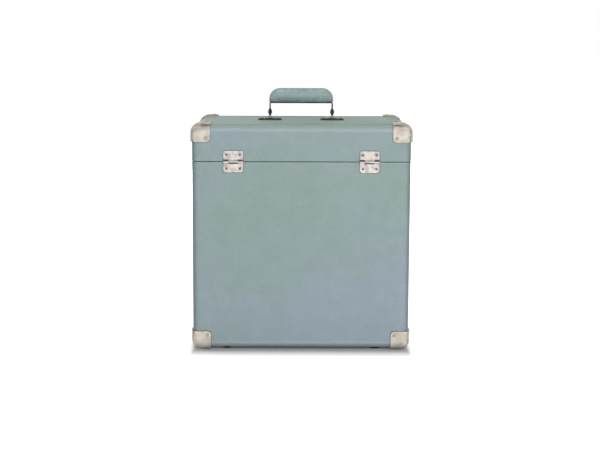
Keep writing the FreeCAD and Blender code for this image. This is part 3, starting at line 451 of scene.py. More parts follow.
@dataclass(frozen=True)
class Leatherette(Finish):
    """Embossed leatherette that covers the case and the grip.

    Attributes:
        cool: Its colour where it turns to blue.
        green: Its colour where it turns to green.
        crease: What the creases of its grain are multiplied by, and what its painted shade is multiplied by.
        worn_and_highlight: Its colour where edges have rubbed, and of its painted highlight under the top
            edge.
        centre: The middle of the block whose edges rub.
        half: Half that block's size.
        cell: How wide a pebble of the grain is.
        depth: How deep the grain is.
        patch: How wide its uneven patches are.
        band: How far from an edge it is rubbed.
        rough: Its roughness.
        rub: How strongly its edges are rubbed paler; on the grip's ends this is partly painted highlight.
        upright_shade: How much painted shade darkens its upright edges.
        brow_highlight: How strongly a painted highlight lightens it under its top edge.
        low_shade: How much painted shade darkens its lower part.
        top_light_tone: The colour painted on its top for how the light from above falls there, where it is
            given.
        fittings: Centre, half size inside its rounding, and rounding of each right-hand fitting that painted
            shade lies round.
    """

    cool: Colour
    green: Colour
    crease: Colour
    worn_and_highlight: Colour
    centre: tuple[float, float, float]
    half: tuple[float, float, float]
    cell: float = 0.95 * MM
    depth: float = 0.09 * MM
    patch: float = 0.2
    band: float = 5 * MM
    rough: float = 0.58
    rub: float = 0.22
    upright_shade: float = 0.0
    brow_highlight: float = 0.0
    low_shade: float = 0.0
    top_light_tone: Colour | None = None
    fittings: tuple[tuple[tuple[float, ...], tuple[float, ...], float], ...] = ()

    def wire(self, shader: ShaderTree, where: Socket) -> None:
        """Wire the grain, uneven tone, rubbed edges, painted shade and highlight, and slight waves."""
        tone_share, low_share, fine_share = 0.8, 0.35, 0.05
        crease_share, top_light_share, fitting_shade_share = 0.5, 0.7, 0.8
        fine_size, gloss_swing, specular, wave_size, wave_height = 0.12, 0.05, 0.14, 0.06, 1.2
        block_feeds = {"vector": where, "centre": self.centre, "half": self.half}
        grain = PEBBLES.place(shader, vector=where, cell=self.cell)
        tone = DRIFT.place(shader, vector=where, patch=self.patch)["Amount"]
        fine = DRIFT.place(shader, vector=where, patch=self.patch * fine_size)["Amount"]
        rubbed = EDGES.place(shader, **block_feeds, band=self.band)["Mask"]
        zones = ZONES.place(shader, **block_feeds)
        cooler = shader.maths("MULTIPLY_ADD", zones["Low"], low_share, shader.times(tone, tone_share))
        colour = shader.mix(cooler, self.green, self.cool)
        colour = shader.over(fine, fine_share, colour, self.crease, "MULTIPLY")
        colour = shader.over(grain["Crease"], crease_share, colour, self.crease, "MULTIPLY")
        # Rubbed edges turn paler; on the grip's ends this is partly painted highlight.
        colour = shader.over(rubbed, self.rub, colour, self.worn_and_highlight)
        # Painted highlight: a paler band under the top edge stands in for light catching the rounded edge.
        colour = shader.over(zones["Brow"], self.brow_highlight, colour, self.worn_and_highlight)
        # Painted light: the top takes a greener tone for how the light from above falls on it.
        if self.top_light_tone:
            colour = shader.over(zones["Crown"], top_light_share, colour, self.top_light_tone)
        # Painted shade: the upright edges darken where they turn away from the light.
        colour = shader.over(zones["Upright"], self.upright_shade, colour, self.crease, "MULTIPLY")
        # Painted shade: the lower part darkens where it turns down, away from the light.
        colour = shader.over(zones["Low"], self.low_shade, colour, self.crease, "MULTIPLY")
        # Painted shade round the fittings, where they meet the covering.
        if self.fittings:
            colour = shader.over(self.verge(shader, where), fitting_shade_share, colour, self.crease, "MULTIPLY")
        rough = shader.spread(tone, 0.0, 1.0, self.rough + gloss_swing, self.rough - gloss_swing)
        shader.coat({"Base Color": colour, "Roughness": rough, "Specular IOR Level": specular})
        waves = shader.noise(where, wave_size, 1.0)
        height = shader.maths("MULTIPLY_ADD", waves, wave_height, grain["Height"])
        self.emboss(shader, height, self.depth)

    def verge(self, shader: ShaderTree, where: Socket) -> Socket:
        """Give the painted shade round the fittings, which are alike left and right."""
        x, y, z = shader.parts(where)
        folded_x = shader.maths("ABSOLUTE", x)
        folded = shader.add("ShaderNodeCombineXYZ", {"X": folded_x, "Y": y, "Z": z}).outputs[0]
        mask, fitting_shade_reach = None, 1.6 * MM
        for centre, half, round_off in self.fittings:
            feeds = {"centre": centre, "half": half, "round_off": round_off, "reach": fitting_shade_reach}
            one = VERGE.place(shader, vector=folded, **feeds)["Mask"]
            mask = shader.maths("MAXIMUM", mask, one) if mask else one
        return mask


@dataclass(frozen=True)
class PlatedMetal(Finish):
    """Plated sheet steel, brushed soft by handling.

    Attributes:
        bright: Its colour where the plating is clean.
        dull: Its colour where the plating has dulled.
        grime_and_shade: The colour of its grime, and of its painted shade along the rim and by the knuckles.
        metal: How much of a metal it is.
        rough: Its roughness.
        patch: How wide its uneven patches are.
        pits: How deep its small unevenness is.
        specular: How strongly its clear skin shines.
        rim: Centre and half size of the block along whose edges painted shade darkens it.
        knuckle: How far aside and how high a hinge pin is, half the middle knuckle's length, and the
            knuckles' radius. Painted shade lies under the middle knuckle and over the outer ones.
    """

    bright: Colour
    dull: Colour
    grime_and_shade: Colour
    metal: float = 0.85
    rough: float = 0.36
    patch: float = 12 * MM
    pits: float = 0.03 * MM
    specular: float = 0.5
    rim: Block | None = None
    knuckle: tuple[float, float, float, float] | None = None

    def wire(self, shader: ShaderTree, where: Socket) -> None:
        """Wire the mottled plating, its scuffs and its fine unevenness."""
        speck_size, speck_band, speck_share = 0.09, (0.58, 0.74), 0.35
        scuff_share, rim_share = 0.3, 0.85
        dull_rough, speck_rough, pit_size, rim_band = 0.08, 0.15, 0.25, 7 * MM
        tone = DRIFT.place(shader, vector=where, patch=self.patch)["Amount"]
        specks = shader.spread(shader.noise(where, self.patch * speck_size, 4.0, 0.7), *speck_band)
        scuffs = SCUFFS.place(shader, vector=where, length=self.patch)["Mask"]
        colour = shader.mix(tone, self.dull, self.bright)
        colour = shader.over(specks, speck_share, colour, self.grime_and_shade)
        colour = shader.over(scuffs, scuff_share, colour, self.bright)
        # Painted shade: the plating darkens along the case's edges, where rounded rims turn away from the
        # light.
        if self.rim:
            centre, half = self.rim
            edge = EDGES.place(shader, vector=where, centre=centre, half=half, band=rim_band)["Mask"]
            colour = shader.over(edge, rim_share, colour, self.grime_and_shade)
        # Painted shade: dark lines under the middle knuckle and over the outer ones.
        if self.knuckle:
            colour = shader.mix(self.knuckle_shade_lines(shader, where), colour, self.grime_and_shade)
        base = shader.spread(tone, 0.0, 1.0, self.rough + dull_rough, self.rough)
        rough = shader.maths("MULTIPLY_ADD", specks, speck_rough, base)
        shader.coat({"Base Color": colour, "Metallic": self.metal, "Roughness": rough})
        shader.coat({"Specular IOR Level": self.specular})
        height = shader.maths("SUBTRACT", shader.noise(where, self.patch * pit_size, 3.0), scuffs)
        self.emboss(shader, height, self.pits)

    def knuckle_shade_lines(self, shader: ShaderTree, where: Socket) -> Socket:
        """Give the lines of painted shade under the middle knuckles and over the outer ones."""
        pin_x, pin_z, reach, radius = self.knuckle
        step, line, darkest = 0.3 * MM, (0.6 * MM, 1.5 * MM), 0.97
        x, _, z = shader.parts(where)
        off_pin = shader.apart(shader.maths("ABSOLUTE", x), pin_x)
        level = shader.spread(off_pin, reach, reach + step, pin_z - radius, pin_z + radius)
        return shader.spread(shader.apart(z, level), *line, darkest, 0.0)


@dataclass(frozen=True)
class Rubber(Finish):
    """Moulded rubber with a fine bloom.

    Attributes:
        dark: Its colour.
        bloom: Its colour where dust has settled.
    """

    title: str = "foot_rubber"
    dark: Colour = tint(22, 23, 24)
    bloom: Colour = tint(52, 53, 54)

    def wire(self, shader: ShaderTree, where: Socket) -> None:
        """Wire the bloom and the moulded skin."""
        patch, skin, depth = 8 * MM, 0.35 * MM, 0.04 * MM
        bloom_share, clean_rough, dusty_rough = 0.5, 0.62, 0.8
        tone = DRIFT.place(shader, vector=where, patch=patch)["Amount"]
        colour = shader.over(tone, bloom_share, self.dark, self.bloom)
        rough = shader.spread(tone, 0.0, 1.0, clean_rough, dusty_rough)
        shader.coat({"Base Color": colour, "Roughness": rough})
        self.emboss(shader, shader.noise(where, skin, 2.0), depth)


@dataclass(frozen=True)
class LiningCloth(Finish):
    """Woven lining cloth glued to the inside.

    Attributes:
        thread: The thread's colour.
        shade: Its colour between the threads.
        pitch: How far apart the threads are.
    """

    title: str = "lining_cloth"
    thread: Colour = tint(188, 178, 160)
    shade: Colour = tint(128, 118, 102)
    pitch: float = 1.1 * MM

    def wire(self, shader: ShaderTree, where: Socket) -> None:
        """Wire the weave, its slubs and its slight fading."""
        patch, depth, slub_height = 0.07, 0.16 * MM, 0.5
        slub_share, fade_share, rough, sheen = 0.3, 0.25, 0.9, 0.25
        weave = WEAVE.place(shader, vector=where, pitch=self.pitch)
        tone = DRIFT.place(shader, vector=where, patch=patch)["Amount"]
        colour = shader.mix(weave["Height"], self.shade, self.thread)
        colour = shader.over(weave["Slub"], slub_share, colour, self.shade)
        colour = shader.over(tone, fade_share, colour, self.shade, "MULTIPLY")
        shader.coat({"Base Color": colour, "Roughness": rough, "Sheen Weight": sheen})
        height = shader.maths("MULTIPLY_ADD", weave["Slub"], slub_height, weave["Height"])
        self.emboss(shader, height, depth)


@dataclass(frozen=True)
class BareBoard(Finish):
    """Light plywood, seen only at cut edges.

    Attributes:
        early: The colour of its soft grain.
        late: The colour of its hard grain.
    """

    title: str = "bare_board"
    early: Colour = tint(205, 178, 140)
    late: Colour = tint(158, 122, 84)

    def wire(self, shader: ShaderTree, where: Socket) -> None:
        """Wire grain drawn out along the board."""
        along_grain, ring_size, depth = (0.12, 1.0, 1.0), 2.4 * MM, 0.08 * MM
        ring_band, soft_rough, hard_rough = (0.36, 0.66), 0.72, 0.84
        drawn = shader.vectors("MULTIPLY", where, along_grain)
        rings = shader.spread(shader.noise(drawn, ring_size, 6.0, 0.6), *ring_band)
        colour = shader.mix(rings, self.early, self.late)
        rough = shader.spread(rings, 0.0, 1.0, soft_rough, hard_rough)
        shader.coat({"Base Color": colour, "Roughness": rough})
        self.emboss(shader, rings, depth)


@dataclass(frozen=True)
class Thread(Finish):
    """Waxed sewing thread.

    Attributes:
        colour: The thread's colour.
        dark: Its colour between the strands.
    """

    title: str = "waxed_thread"
    colour: Colour = tint(150, 162, 163)
    dark: Colour = tint(96, 108, 110)

    def wire(self, shader: ShaderTree, where: Socket) -> None:
        """Wire the twist of the strands."""
        slope, strand, rough, depth = (1.0, 0.45, 0.45), 0.9 * MM, 0.6, 0.08 * MM
        slant = shader.scaled(shader.vectors("MULTIPLY", where, slope), strand)
        strands = shader.add("ShaderNodeTexWave", {"Vector": slant, "Scale": 1.0}).outputs["Fac"]
        colour = shader.mix(strands, self.dark, self.colour)
        shader.coat({"Base Color": colour, "Roughness": rough})
        self.emboss(shader, strands, depth)


@dataclass(frozen=True)
class PaleFloor(Finish):
    """A floor with a painted shadow round the case, on top of the lamps' shadow, and white elsewhere.

    Attributes:
        near: Its colour in the painted shadow.
        far: Its colour outside it.
        rough: Its roughness.
        least: How much it glows in the painted shadow.
        reach: How far the painted shadow spreads beside and before the case.
    """

    near: Colour = (0.5, 0.49, 0.49, 1.0)
    far: Colour = (0.9, 0.9, 0.9, 1.0)
    rough: float = 0.95
    least: float = 0.055
    reach: tuple[float, float] = (15 * MM, 66 * MM)

    def wire(self, shader: ShaderTree, where: Socket) -> None:
        """Wire the painted shadow, by a share from nought beside the case to one outside it."""
        middle, half = block("base_covering")
        beyond = shader.vectors("SUBTRACT", shader.aside(where, middle), half)
        shares = (1 / self.reach[0], 1 / self.reach[1], 0)
        outside = shader.vectors("MULTIPLY", shader.vectors("MAXIMUM", beyond, (0, 0, 0)), shares)
        clear = shader.maths("MINIMUM", shader.length(outside), 1.0)
        path = shader.add("ShaderNodeLightPath").outputs
        seen = shader.maths("MAXIMUM", path["Is Camera Ray"], path["Is Glossy Ray"])
        # Painted shadow: near the footprint the floor is darker and glows less.
        glow = shader.maths("MULTIPLY_ADD", clear, 1 - self.least, self.least)
        colour = shader.mix(clear, self.near, self.far)
        shader.coat({"Base Color": colour, "Roughness": self.rough, "Specular IOR Level": 0.0})
        shader.coat({"Emission Color": WHITE, "Emission Strength": shader.times(seen, glow)})


@dataclass(frozen=True)
class Finishes:
    """The finishes of the case's pieces, with the block whose edges rub."""

    centre: tuple[float, float, float]
    half: tuple[float, float, float]
    rivet: PlatedMetal = PlatedMetal(
        "rivet_plate", tint(198, 190, 174), tint(164, 154, 138), tint(84, 76, 62), metal=0.5, rough=0.36,
        patch=4 * MM,
    )
    hinge: PlatedMetal = PlatedMetal(
        "hinge_plate", tint(200, 192, 188), tint(160, 152, 149), tint(84, 76, 70), metal=0.6, rough=0.34,
        patch=7 * MM,
    )
    # The rivets' darker rings are partly tarnish in their hollows and partly painted shade.
    tarnish_and_shade: PlatedMetal = PlatedMetal(
        "tarnish_and_shade_ring", tint(136, 124, 98), tint(104, 94, 74), tint(62, 56, 46), metal=0.3, rough=0.55,
        patch=3 * MM,
    )
    # The cross recesses are darkened as painted shade, with some grime.
    recess: PlatedMetal = PlatedMetal(
        "screw_recess", tint(92, 85, 81), tint(60, 55, 52), tint(34, 31, 29), metal=0.3, rough=0.6,
        patch=2 * MM,
    )
    # The brackets' dark olive colour is painted shade, standing in for the shadow on the plates seen
    # edge-on.
    bracket: PlatedMetal = PlatedMetal(
        "bracket_plate", tint(84, 83, 68), tint(50, 51, 40), tint(30, 30, 24), metal=0.15, rough=0.6,
        patch=5 * MM, specular=0.15,
    )
    latch: PlatedMetal = PlatedMetal(
        "latch_plate", tint(200, 193, 186), tint(164, 157, 151), tint(90, 82, 74), metal=0.65, rough=0.32,
        patch=9 * MM,
    )
    steel: PlatedMetal = PlatedMetal(
        "dark_spring_steel", tint(54, 62, 69), tint(36, 42, 48), tint(24, 26, 28), metal=0.4, rough=0.5,
        patch=14 * MM,
    )
    rubber: Rubber = Rubber()
    lining: LiningCloth = LiningCloth()
    board: BareBoard = BareBoard()
    thread: Thread = Thread()

    def guard(self) -> PlatedMetal:
        """Give the guards' plating, with painted shade along the upright and upper edges of the case."""
        drop = Vector((0, 0, 1))
        rim = (tuple(Vector(self.centre) - drop), tuple(Vector(self.half) + drop))
        return PlatedMetal(
            "guard_plate", tint(194, 187, 176), tint(172, 164, 154), tint(116, 106, 106), metal=0.5,
            rough=0.42, rim=rim,
        )

    def leaf(self) -> PlatedMetal:
        """Give the hinge leaves' plating, with painted shade above and below the knuckles."""
        half_length, radius = 7.7 * MM, 2.1 * MM
        x, _, z = block("hinge_pin_right")[0]
        return replace(self.hinge, title="leaf_plate", knuckle=(abs(x), z, half_length, radius))

    def covering(self) -> Leatherette:
        """Give the case's leatherette, with painted shade round the fittings."""
        fittings = []
        roundings = {f"guard_{level}_{face}": 5 * MM for level in LEVELS for face in FACES}
        roundings |= {"hinge_lower_leaf": 3 * MM, "hinge_upper_leaf": 1.5 * MM, "handle_bracket": 3 * MM}
        roundings |= {"latch_base": 2 * MM, "latch_hanger": 2 * MM}
        for name, round_off in roundings.items():
            centre, half = block(f"{name}_right")
            inner = tuple(size - round_off if size > 2 * round_off else size for size in half)
            fittings.append((centre, inner, round_off))
        return Leatherette(
            "case_leatherette", tint(146, 159, 168), tint(140, 158, 153), tint(96, 108, 108),
            tint(186, 198, 195), self.centre, self.half, upright_shade=0.5, brow_highlight=0.2,
            top_light_tone=tint(148, 167, 155), fittings=tuple(fittings),
        )

    def grip(self) -> Leatherette:
        """Give the grip's leatherette, of a finer grain that hands have smoothed."""
        # The grip's lower part takes painted shade, and its paler rubbed ends are partly painted highlight.
        return Leatherette(
            "grip_leatherette", tint(150, 168, 172), tint(150, 169, 163), tint(84, 102, 118),
            tint(206, 214, 212), *block("handle_grip"), cell=0.8 * MM,
            depth=0.05 * MM, patch=0.1, band=9 * MM, rough=0.46, rub=0.4, low_shade=0.34,
        )


def dress(names: Iterable[str], finish: Finish) -> None:
    """Give CAD nodes a finish."""
    for name in names:
        for slot in bpy.data.objects[name].material_slots:
            slot.material = finish.material()
        LOG.info("dressed %s with %s", name, finish.title)


def stand(name: str, data: bpy.types.ID) -> bpy.types.Object:
    """Put a new object with its data into the scene."""
    made = bpy.data.objects.new(name, data)
    bpy.context.scene.collection.objects.link(made)
    return made


def make_piece(
    name: str, mesh: bmesh.types.BMesh, finish: Finish, body: str, replaced: str | None = None
) -> bpy.types.Object:
    """Turn built geometry into a piece that rides on a body.

    Args:
        name: The piece's name.
        mesh: Its geometry, which is freed.
        finish: What it is finished with.
        body: The CAD body that it rides on.
        replaced: The CAD node that it stands for.

    Returns:
        The piece.
    """
    data = bpy.data.meshes.new(name)
    bmesh.ops.recalc_face_normals(mesh, faces=mesh.faces)
    mesh.to_mesh(data)
    mesh.free()
    data.shade_smooth()
    data.materials.append(finish.material())
    piece = stand(name, data)
    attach(piece, body)
    if replaced:
        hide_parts(replaced)
    LOG.info("made %s with %d faces", name, len(data.polygons))
    return piece


def lathe(
    mesh: bmesh.types.BMesh, profile: list[tuple[float, float]], place: Matrix, bands: Iterable[int] = (),
    steps: int = 40,
) -> None:
    """Turn an outline about an axis.

    Args:
        mesh: What the turned faces are added to.
        profile: Radius and height of each point, from the axis out and back.
        place: Carries the turned shape to its place.
        bands: The bands of faces, counted from the axis out, that take the second material.
        steps: How many flats make a full turn.
    """
    rings = []
    for radius, height in profile:
        if radius == 0:
            rings.append([mesh.verts.new(place @ Vector((0, 0, height)))])
            continue
        angles = (FULL_TURN * step / steps for step in range(steps))
        rings.append([
            mesh.verts.new(place @ Vector((radius * math.cos(angle), radius * math.sin(angle), height)))
            for angle in angles
        ])
    for band, (low, high) in enumerate(zip(rings, rings[1:])):
        for step in range(steps):
            after = (step + 1) % steps
            lower = (low[step % len(low)], low[after % len(low)])
            upper = (high[after % len(high)], high[step % len(high)])
            ring = list(dict.fromkeys((*lower, *upper)))
            if len(ring) > 2:
                mesh.faces.new(ring).material_index = int(band in bands)


@dataclass(frozen=True)
class Fastener:
    """A built head that stands for the frame's plain one.

    Attributes:
        word: The word that its pieces' names have before the kind of fastener.
        turns: How far the heads of a row are turned in degrees, from the first on and over again.
    """

    word: str
    turns: tuple[int, ...] = (0,)

    def head(self, mesh: bmesh.types.BMesh, place: Matrix) -> None:
        """Make one head.

        Args:
            mesh: What the head is added to.
            place: Carries the head to its place, its axis along +Z.
        """
        raise NotImplementedError

    def row(
        self, node: str, body: str, spots: list[tuple[Vector, Facing]], finish: Finish, dark: Finish
    ) -> None:
        """Make the heads that stand for one CAD node.

        Args:
            node: The CAD node that they stand for.
            body: The CAD body that they ride on.
            spots: Where each head sits and which way it faces.
            finish: What they are finished with.
            dark: What their rings or recesses are finished with.
        """
        mesh = bmesh.new()
        for number, (spot, facing) in enumerate(spots):
            spin = Matrix.Rotation(math.radians(self.turns[number % len(self.turns)]), 4, "Z")
            self.head(mesh, Matrix.Translation(spot) @ facing.turn() @ spin)
        stem, kind = node.rsplit("_", 1)
        piece = make_piece(f"{stem}_{self.word}_{kind}", mesh, finish, body, node)
        piece.data.materials.append(dark.material())


@dataclass(frozen=True)
class DimpledRivet(Fastener):
    """A rivet with a crowned rim and a dimpled middle."""

    word: str = "dimpled"
    radius: float = 3.1 * MM
    height: float = 0.9 * MM
    shank_radius: float = 1.3 * MM
    shank_length: float = 8 * MM
    # These bands take the darker ring finish: partly tarnish, partly painted shade.
    ring_bands: tuple[int, ...] = (1, 2, 6, 7, 8)

    def head(self, mesh: bmesh.types.BMesh, place: Matrix) -> None:
        """Turn the rivet's head and its shank."""
        shape_shares = (
            (0.0, 0.62), (0.16, 0.62), (0.3, 0.7), (0.42, 0.92), (0.54, 1.0), (0.68, 0.94), (0.82, 0.72),
            (0.93, 0.4), (0.99, 0.12), (1.0, 0.0),
        )
        head = [(out * self.radius, up * self.height) for out, up in shape_shares]
        end = -self.shank_length
        shank = [(self.shank_radius, 0.0), (self.shank_radius, end), (0.0, end)]
        lathe(mesh, [*head, *shank], place, self.ring_bands)


@dataclass(frozen=True)
class CrossScrew(Fastener):
    """A cross-recessed dome screw, turned its own way in each place."""

    word: str = "cross"
    turns: tuple[int, ...] = (38, 62, 17, 49, 80, 29, 55, 8)
    radius: float = 3.2 * MM
    height: float = 0.85 * MM
    cross_half_length: float = 2.15 * MM
    cross_half_width: float = 0.55 * MM
    cross_depth: float = 0.65 * MM
    cells: int = 36

    def in_cross(self, x: float, y: float) -> bool:
        """Say whether a place on the head lies in its cross."""
        long, wide = self.cross_half_length, self.cross_half_width
        return (abs(x) < long and abs(y) < wide) or (abs(x) < wide and abs(y) < long)

    def head(self, mesh: bmesh.types.BMesh, place: Matrix) -> None:
        """Make a domed head from a square grid drawn round, pressed down inside the cross."""
        flatness, edge_ease = 2.6, 0.6
        rows = []
        for row in range(self.cells + 1):
            across = 2 * row / self.cells - 1
            line = []
            for column in range(self.cells + 1):
                along = 2 * column / self.cells - 1
                x = self.radius * along * math.sqrt(1 - across**2 / 2)
                y = self.radius * across * math.sqrt(1 - along**2 / 2)
                reach = min(1.0, math.hypot(x, y) / self.radius)
                height = self.height * (1 - reach**flatness) ** edge_ease
                if self.in_cross(x, y):
                    height -= self.cross_depth
                line.append((mesh.verts.new(place @ Vector((x, y, height))), self.in_cross(x, y)))
            rows.append(line)
        for low, high in zip(rows, rows[1:]):
            for left, right in zip(range(self.cells), range(1, self.cells + 1)):
                ring = (low[left], low[right], high[right], high[left])
                face = mesh.faces.new([vertex for vertex, _ in ring])
                face.material_index = int(any(inside for _, inside in ring))


@dataclass
class Case:
    """The covered and lined body and lid, and the feet under them."""

    finishes: Finishes

    def build(self) -> None:
        """Dress the coverings, the boards, the linings and the feet."""
        walls, finishes = (*FACES, *SIDES), self.finishes
        dress(COVERINGS, finishes.covering())
        dress([f"body_{wall}_board" for wall in (*walls, "bottom")], finishes.board)
        dress([f"lid_{wall}_board" for wall in (*walls, "top")], finishes.board)
        dress([f"body_liner_{wall}" for wall in (*walls, "floor")], finishes.lining)
        dress(["lid_lining"], finishes.lining)
        dress([f"foot_{face}_{side}" for face in FACES for side in SIDES], finishes.rubber)
        dress(["foot_screws"], finishes.hinge)


@dataclass
class Guards:
    """The corner guards with their dimpled rivets."""

    finishes: Finishes
    rivet: DimpledRivet = DimpledRivet()
    rivet_inset: float = 26.9 * MM
    rivet_drop: float = 25.2 * MM

    def build(self) -> None:
        """Dress the guards and make their rivets."""
        metals = self.finishes.rivet, self.finishes.tarnish_and_shade
        for level, (body, way) in LEVELS.items():
            guards = [f"guard_{level}_{face}_{side}" for face in FACES for side in SIDES]
            dress(guards, self.finishes.guard())
            spots = self.rivet_spots(*span(*guards), Facing.UP if way > 0 else Facing.DOWN)
            self.rivet.row(f"{level}_guard_rivets", body, spots, *metals)

    def rivet_spots(self, low: Vector, high: Vector, facing: Facing) -> list[tuple[Vector, Facing]]:
        """Give where the rivets of one level sit.

        Args:
            low: The lowest corner of the block round the level's guards.
            high: The highest corner.
            facing: The way that the guards' level faces face.

        Returns:
            The place of each rivet and the way that it faces.
        """
        outer_z = high.z if facing is Facing.UP else low.z
        rivet_z = outer_z - facing.value.z * self.rivet_drop
        spots = []
        for side, sx in SIDES.items():
            for face, sy in FACES.items():
                outer = Vector((sx * high.x, sy * -low.y, outer_z))
                inner = outer - self.rivet_inset * Vector((sx, sy, 0))
                spots.append((Vector((inner.x, outer.y, rivet_z)), Facing[face.upper()]))
                spots.append((Vector((outer.x, inner.y, rivet_z)), Facing[side.upper()]))
                spots.append((Vector((inner.x, inner.y, outer.z)), facing))
        return spots


@dataclass
class Latches:
    """The draw latches at the front with their dimpled rivets."""

    finishes: Finishes
    rivet: DimpledRivet = DimpledRivet()
    offset: float = 100 * MM
    rivet_x: float = 8.6 * MM
    base_drops: tuple[float, float] = (31 * MM, 17.5 * MM)
    hanger_rise: float = 15 * MM

    def build(self) -> None:
        """Dress the latches and make their rivets."""
        for part in ("base", "lever", "hanger", "loop"):
            dress([f"latch_{part}_{side}" for side in SIDES], self.finishes.latch)
        dress(["latch_pivot_pins"], self.finishes.latch)
        seam = pin_height()
        head_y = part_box("latch_base_rivets")[1].y - self.rivet.height
        outer, middle = (seam - drop for drop in self.base_drops)
        base = [
            (Vector((side * self.offset + hand * self.rivet_x, head_y, z)), Facing.FRONT)
            for side in SIDES.values() for hand, z in ((-1, outer), (0, middle), (1, outer))
        ]
        hanger_z, xs = seam + self.hanger_rise, beside(self.offset, self.rivet_x)
        hanger = [(Vector((x, head_y, hanger_z)), Facing.FRONT) for x in xs]
        metals = self.finishes.rivet, self.finishes.tarnish_and_shade
        self.rivet.row("latch_base_rivets", "case_body", base, *metals)
        self.rivet.row("latch_hanger_rivets", "lid", hanger, *metals)


@dataclass
class Hinges:
    """The hinges at the back with their cross-recessed screws."""

    finishes: Finishes
    screw: CrossScrew = CrossScrew()
    offset: float = 110.7 * MM
    screw_x: float = 11.05 * MM
    screw_z: float = 11.3 * MM

    def build(self) -> None:
        """Dress the leaves and the pins and make the screws."""
        metals = self.finishes.hinge, self.finishes.recess
        xs = beside(self.offset, self.screw_x)
        dress([f"hinge_pin_{side}" for side in SIDES], self.finishes.hinge)
        for level, (body, way) in LEVELS.items():
            dress([f"hinge_{level}_leaf_{side}" for side in SIDES], self.finishes.leaf())
            head_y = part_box(f"hinge_{level}_screws")[0].y + self.screw.height
            z = pin_height() + way * self.screw_z
            spots = [(Vector((x, head_y, z)), Facing.BACK) for x in xs]
            self.screw.row(f"hinge_{level}_screws", body, spots, *metals)


@dataclass
class Handle:
    """The handle's strap, and the brackets that it turns in with their screws."""

    finishes: Finishes
    screw: CrossScrew = CrossScrew()
    offset: float = 53.15 * MM
    screw_x: float = 14 * MM
    screw_y: float = 7.5 * MM

    def build(self) -> None:
        """Dress the strap, its pivots and the brackets and make the screws."""
        metals = self.finishes.bracket, self.finishes.recess
        dress(["handle_strap", "handle_pivot_rivets"], self.finishes.steel)
        dress([f"handle_bracket_{side}" for side in SIDES], self.finishes.bracket)
        head_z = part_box("handle_bracket_screws")[1].z - self.screw.height
        spots = [
            (Vector((x, way * self.screw_y, head_z)), Facing.UP)
            for x in beside(self.offset, self.screw_x) for way in (-1, 1)
        ]
        self.screw.row("handle_bracket_screws", "lid", spots, *metals)


@dataclass
class Grip:
    """The padded grip, sewn along its underside, with gathered ends."""

    finishes: Finishes
    crown: float = 18.5 * MM
    end_round: float = 9 * MM
    fullness: float = 2.3
    undercut: float = 0.07
    pucker: float = 0.8 * MM
    puckers: int = 9
    gather: float = 9 * MM
    stations: int = 88
    around: int = 72
    stitch: float = 3.2 * MM
    stitch_gap: float = 1.2 * MM
    stitch_radius: float = 0.38 * MM
    stitch_y: float = 7.2 * MM

    def build(self) -> None:
        """Make the grip and its stitches."""
        low, high = span("handle_grip")
        mesh = bmesh.new()
        half = (high.x - low.x) / 2
        rings = []
        for station in range(self.stations + 1):
            share = math.sin(math.pi / 2 * (2 * station / self.stations - 1))
            rings.append(self.ring(mesh, share * half, half, low, high))
        for here, after in zip(rings, rings[1:]):
            for step in range(self.around):
                follow = (step + 1) % self.around
                mesh.faces.new((here[step], here[follow], after[follow], after[step]))
        mesh.faces.new(rings[0])
        mesh.faces.new(rings[-1])
        piece = make_piece("padded_grip", mesh, self.finishes.grip(), "handle", "handle_grip")
        self.sew(low, high)

    def ring(
        self, mesh: bmesh.types.BMesh, x: float, half: float, low: Vector, high: Vector
    ) -> list[bmesh.types.BMVert]:
        """Make one ring of the grip's skin.

        Args:
            mesh: What the ring is added to.
            x: Where it is along the grip.
            half: Half the grip's length.
            low: The lowest corner of the grip's space.
            high: The highest corner.

        Returns:
            The ring's vertices.
        """
        to_end = half - abs(x)
        top = self.eased(to_end, self.crown, high.z - low.z)
        width = self.eased(to_end, self.end_round, (high.y - low.y) / 2)
        gathered = max(0.0, 1 - abs(to_end - self.gather) / self.gather)
        middle = low.z + top * (0.5 - self.undercut / 2)
        reach = top * (0.5 + self.undercut / 2)
        ring = []
        for step in range(self.around):
            angle = FULL_TURN * step / self.around
            out, up = math.cos(angle), math.sin(angle)
            pull = self.pucker * gathered * (math.cos(self.puckers * 2 * angle) - 1) / 2
            y = (width + pull) * math.copysign(abs(out) ** (2 / self.fullness), out)
            z = middle + (reach + pull) * math.copysign(abs(up) ** (2 / self.fullness), up)
            ring.append(mesh.verts.new((x, y, max(z, low.z))))
        return ring

    @staticmethod
    def eased(to_end: float, radius: float, full: float) -> float:
        """Give a height or width that rounds down by a radius towards the grip's end."""
        if to_end >= radius:
            return full
        return full - radius + math.sqrt(max(0.0, radius**2 - (radius - to_end) ** 2))

    def sew(self, low: Vector, high: Vector) -> None:
        """Sew a row of stitches along each lower edge of the grip."""
        mesh = bmesh.new()
        usable = (high.x - low.x) - 2 * self.gather
        step = self.stitch + self.stitch_gap
        count = int(usable // step)
        for row in (-1, 1):
            for number in range(count):
                x = (number - (count - 1) / 2) * step
                place = Matrix.Translation((x, row * self.stitch_y, low.z + self.stitch_radius / 2))
                size = Matrix.Diagonal((self.stitch / 2, self.stitch_radius, self.stitch_radius, 1))
                bmesh.ops.create_uvsphere(mesh, u_segments=12, v_segments=8, radius=1, matrix=place @ size)
        make_piece("grip_stitches", mesh, self.finishes.thread, "handle", None)


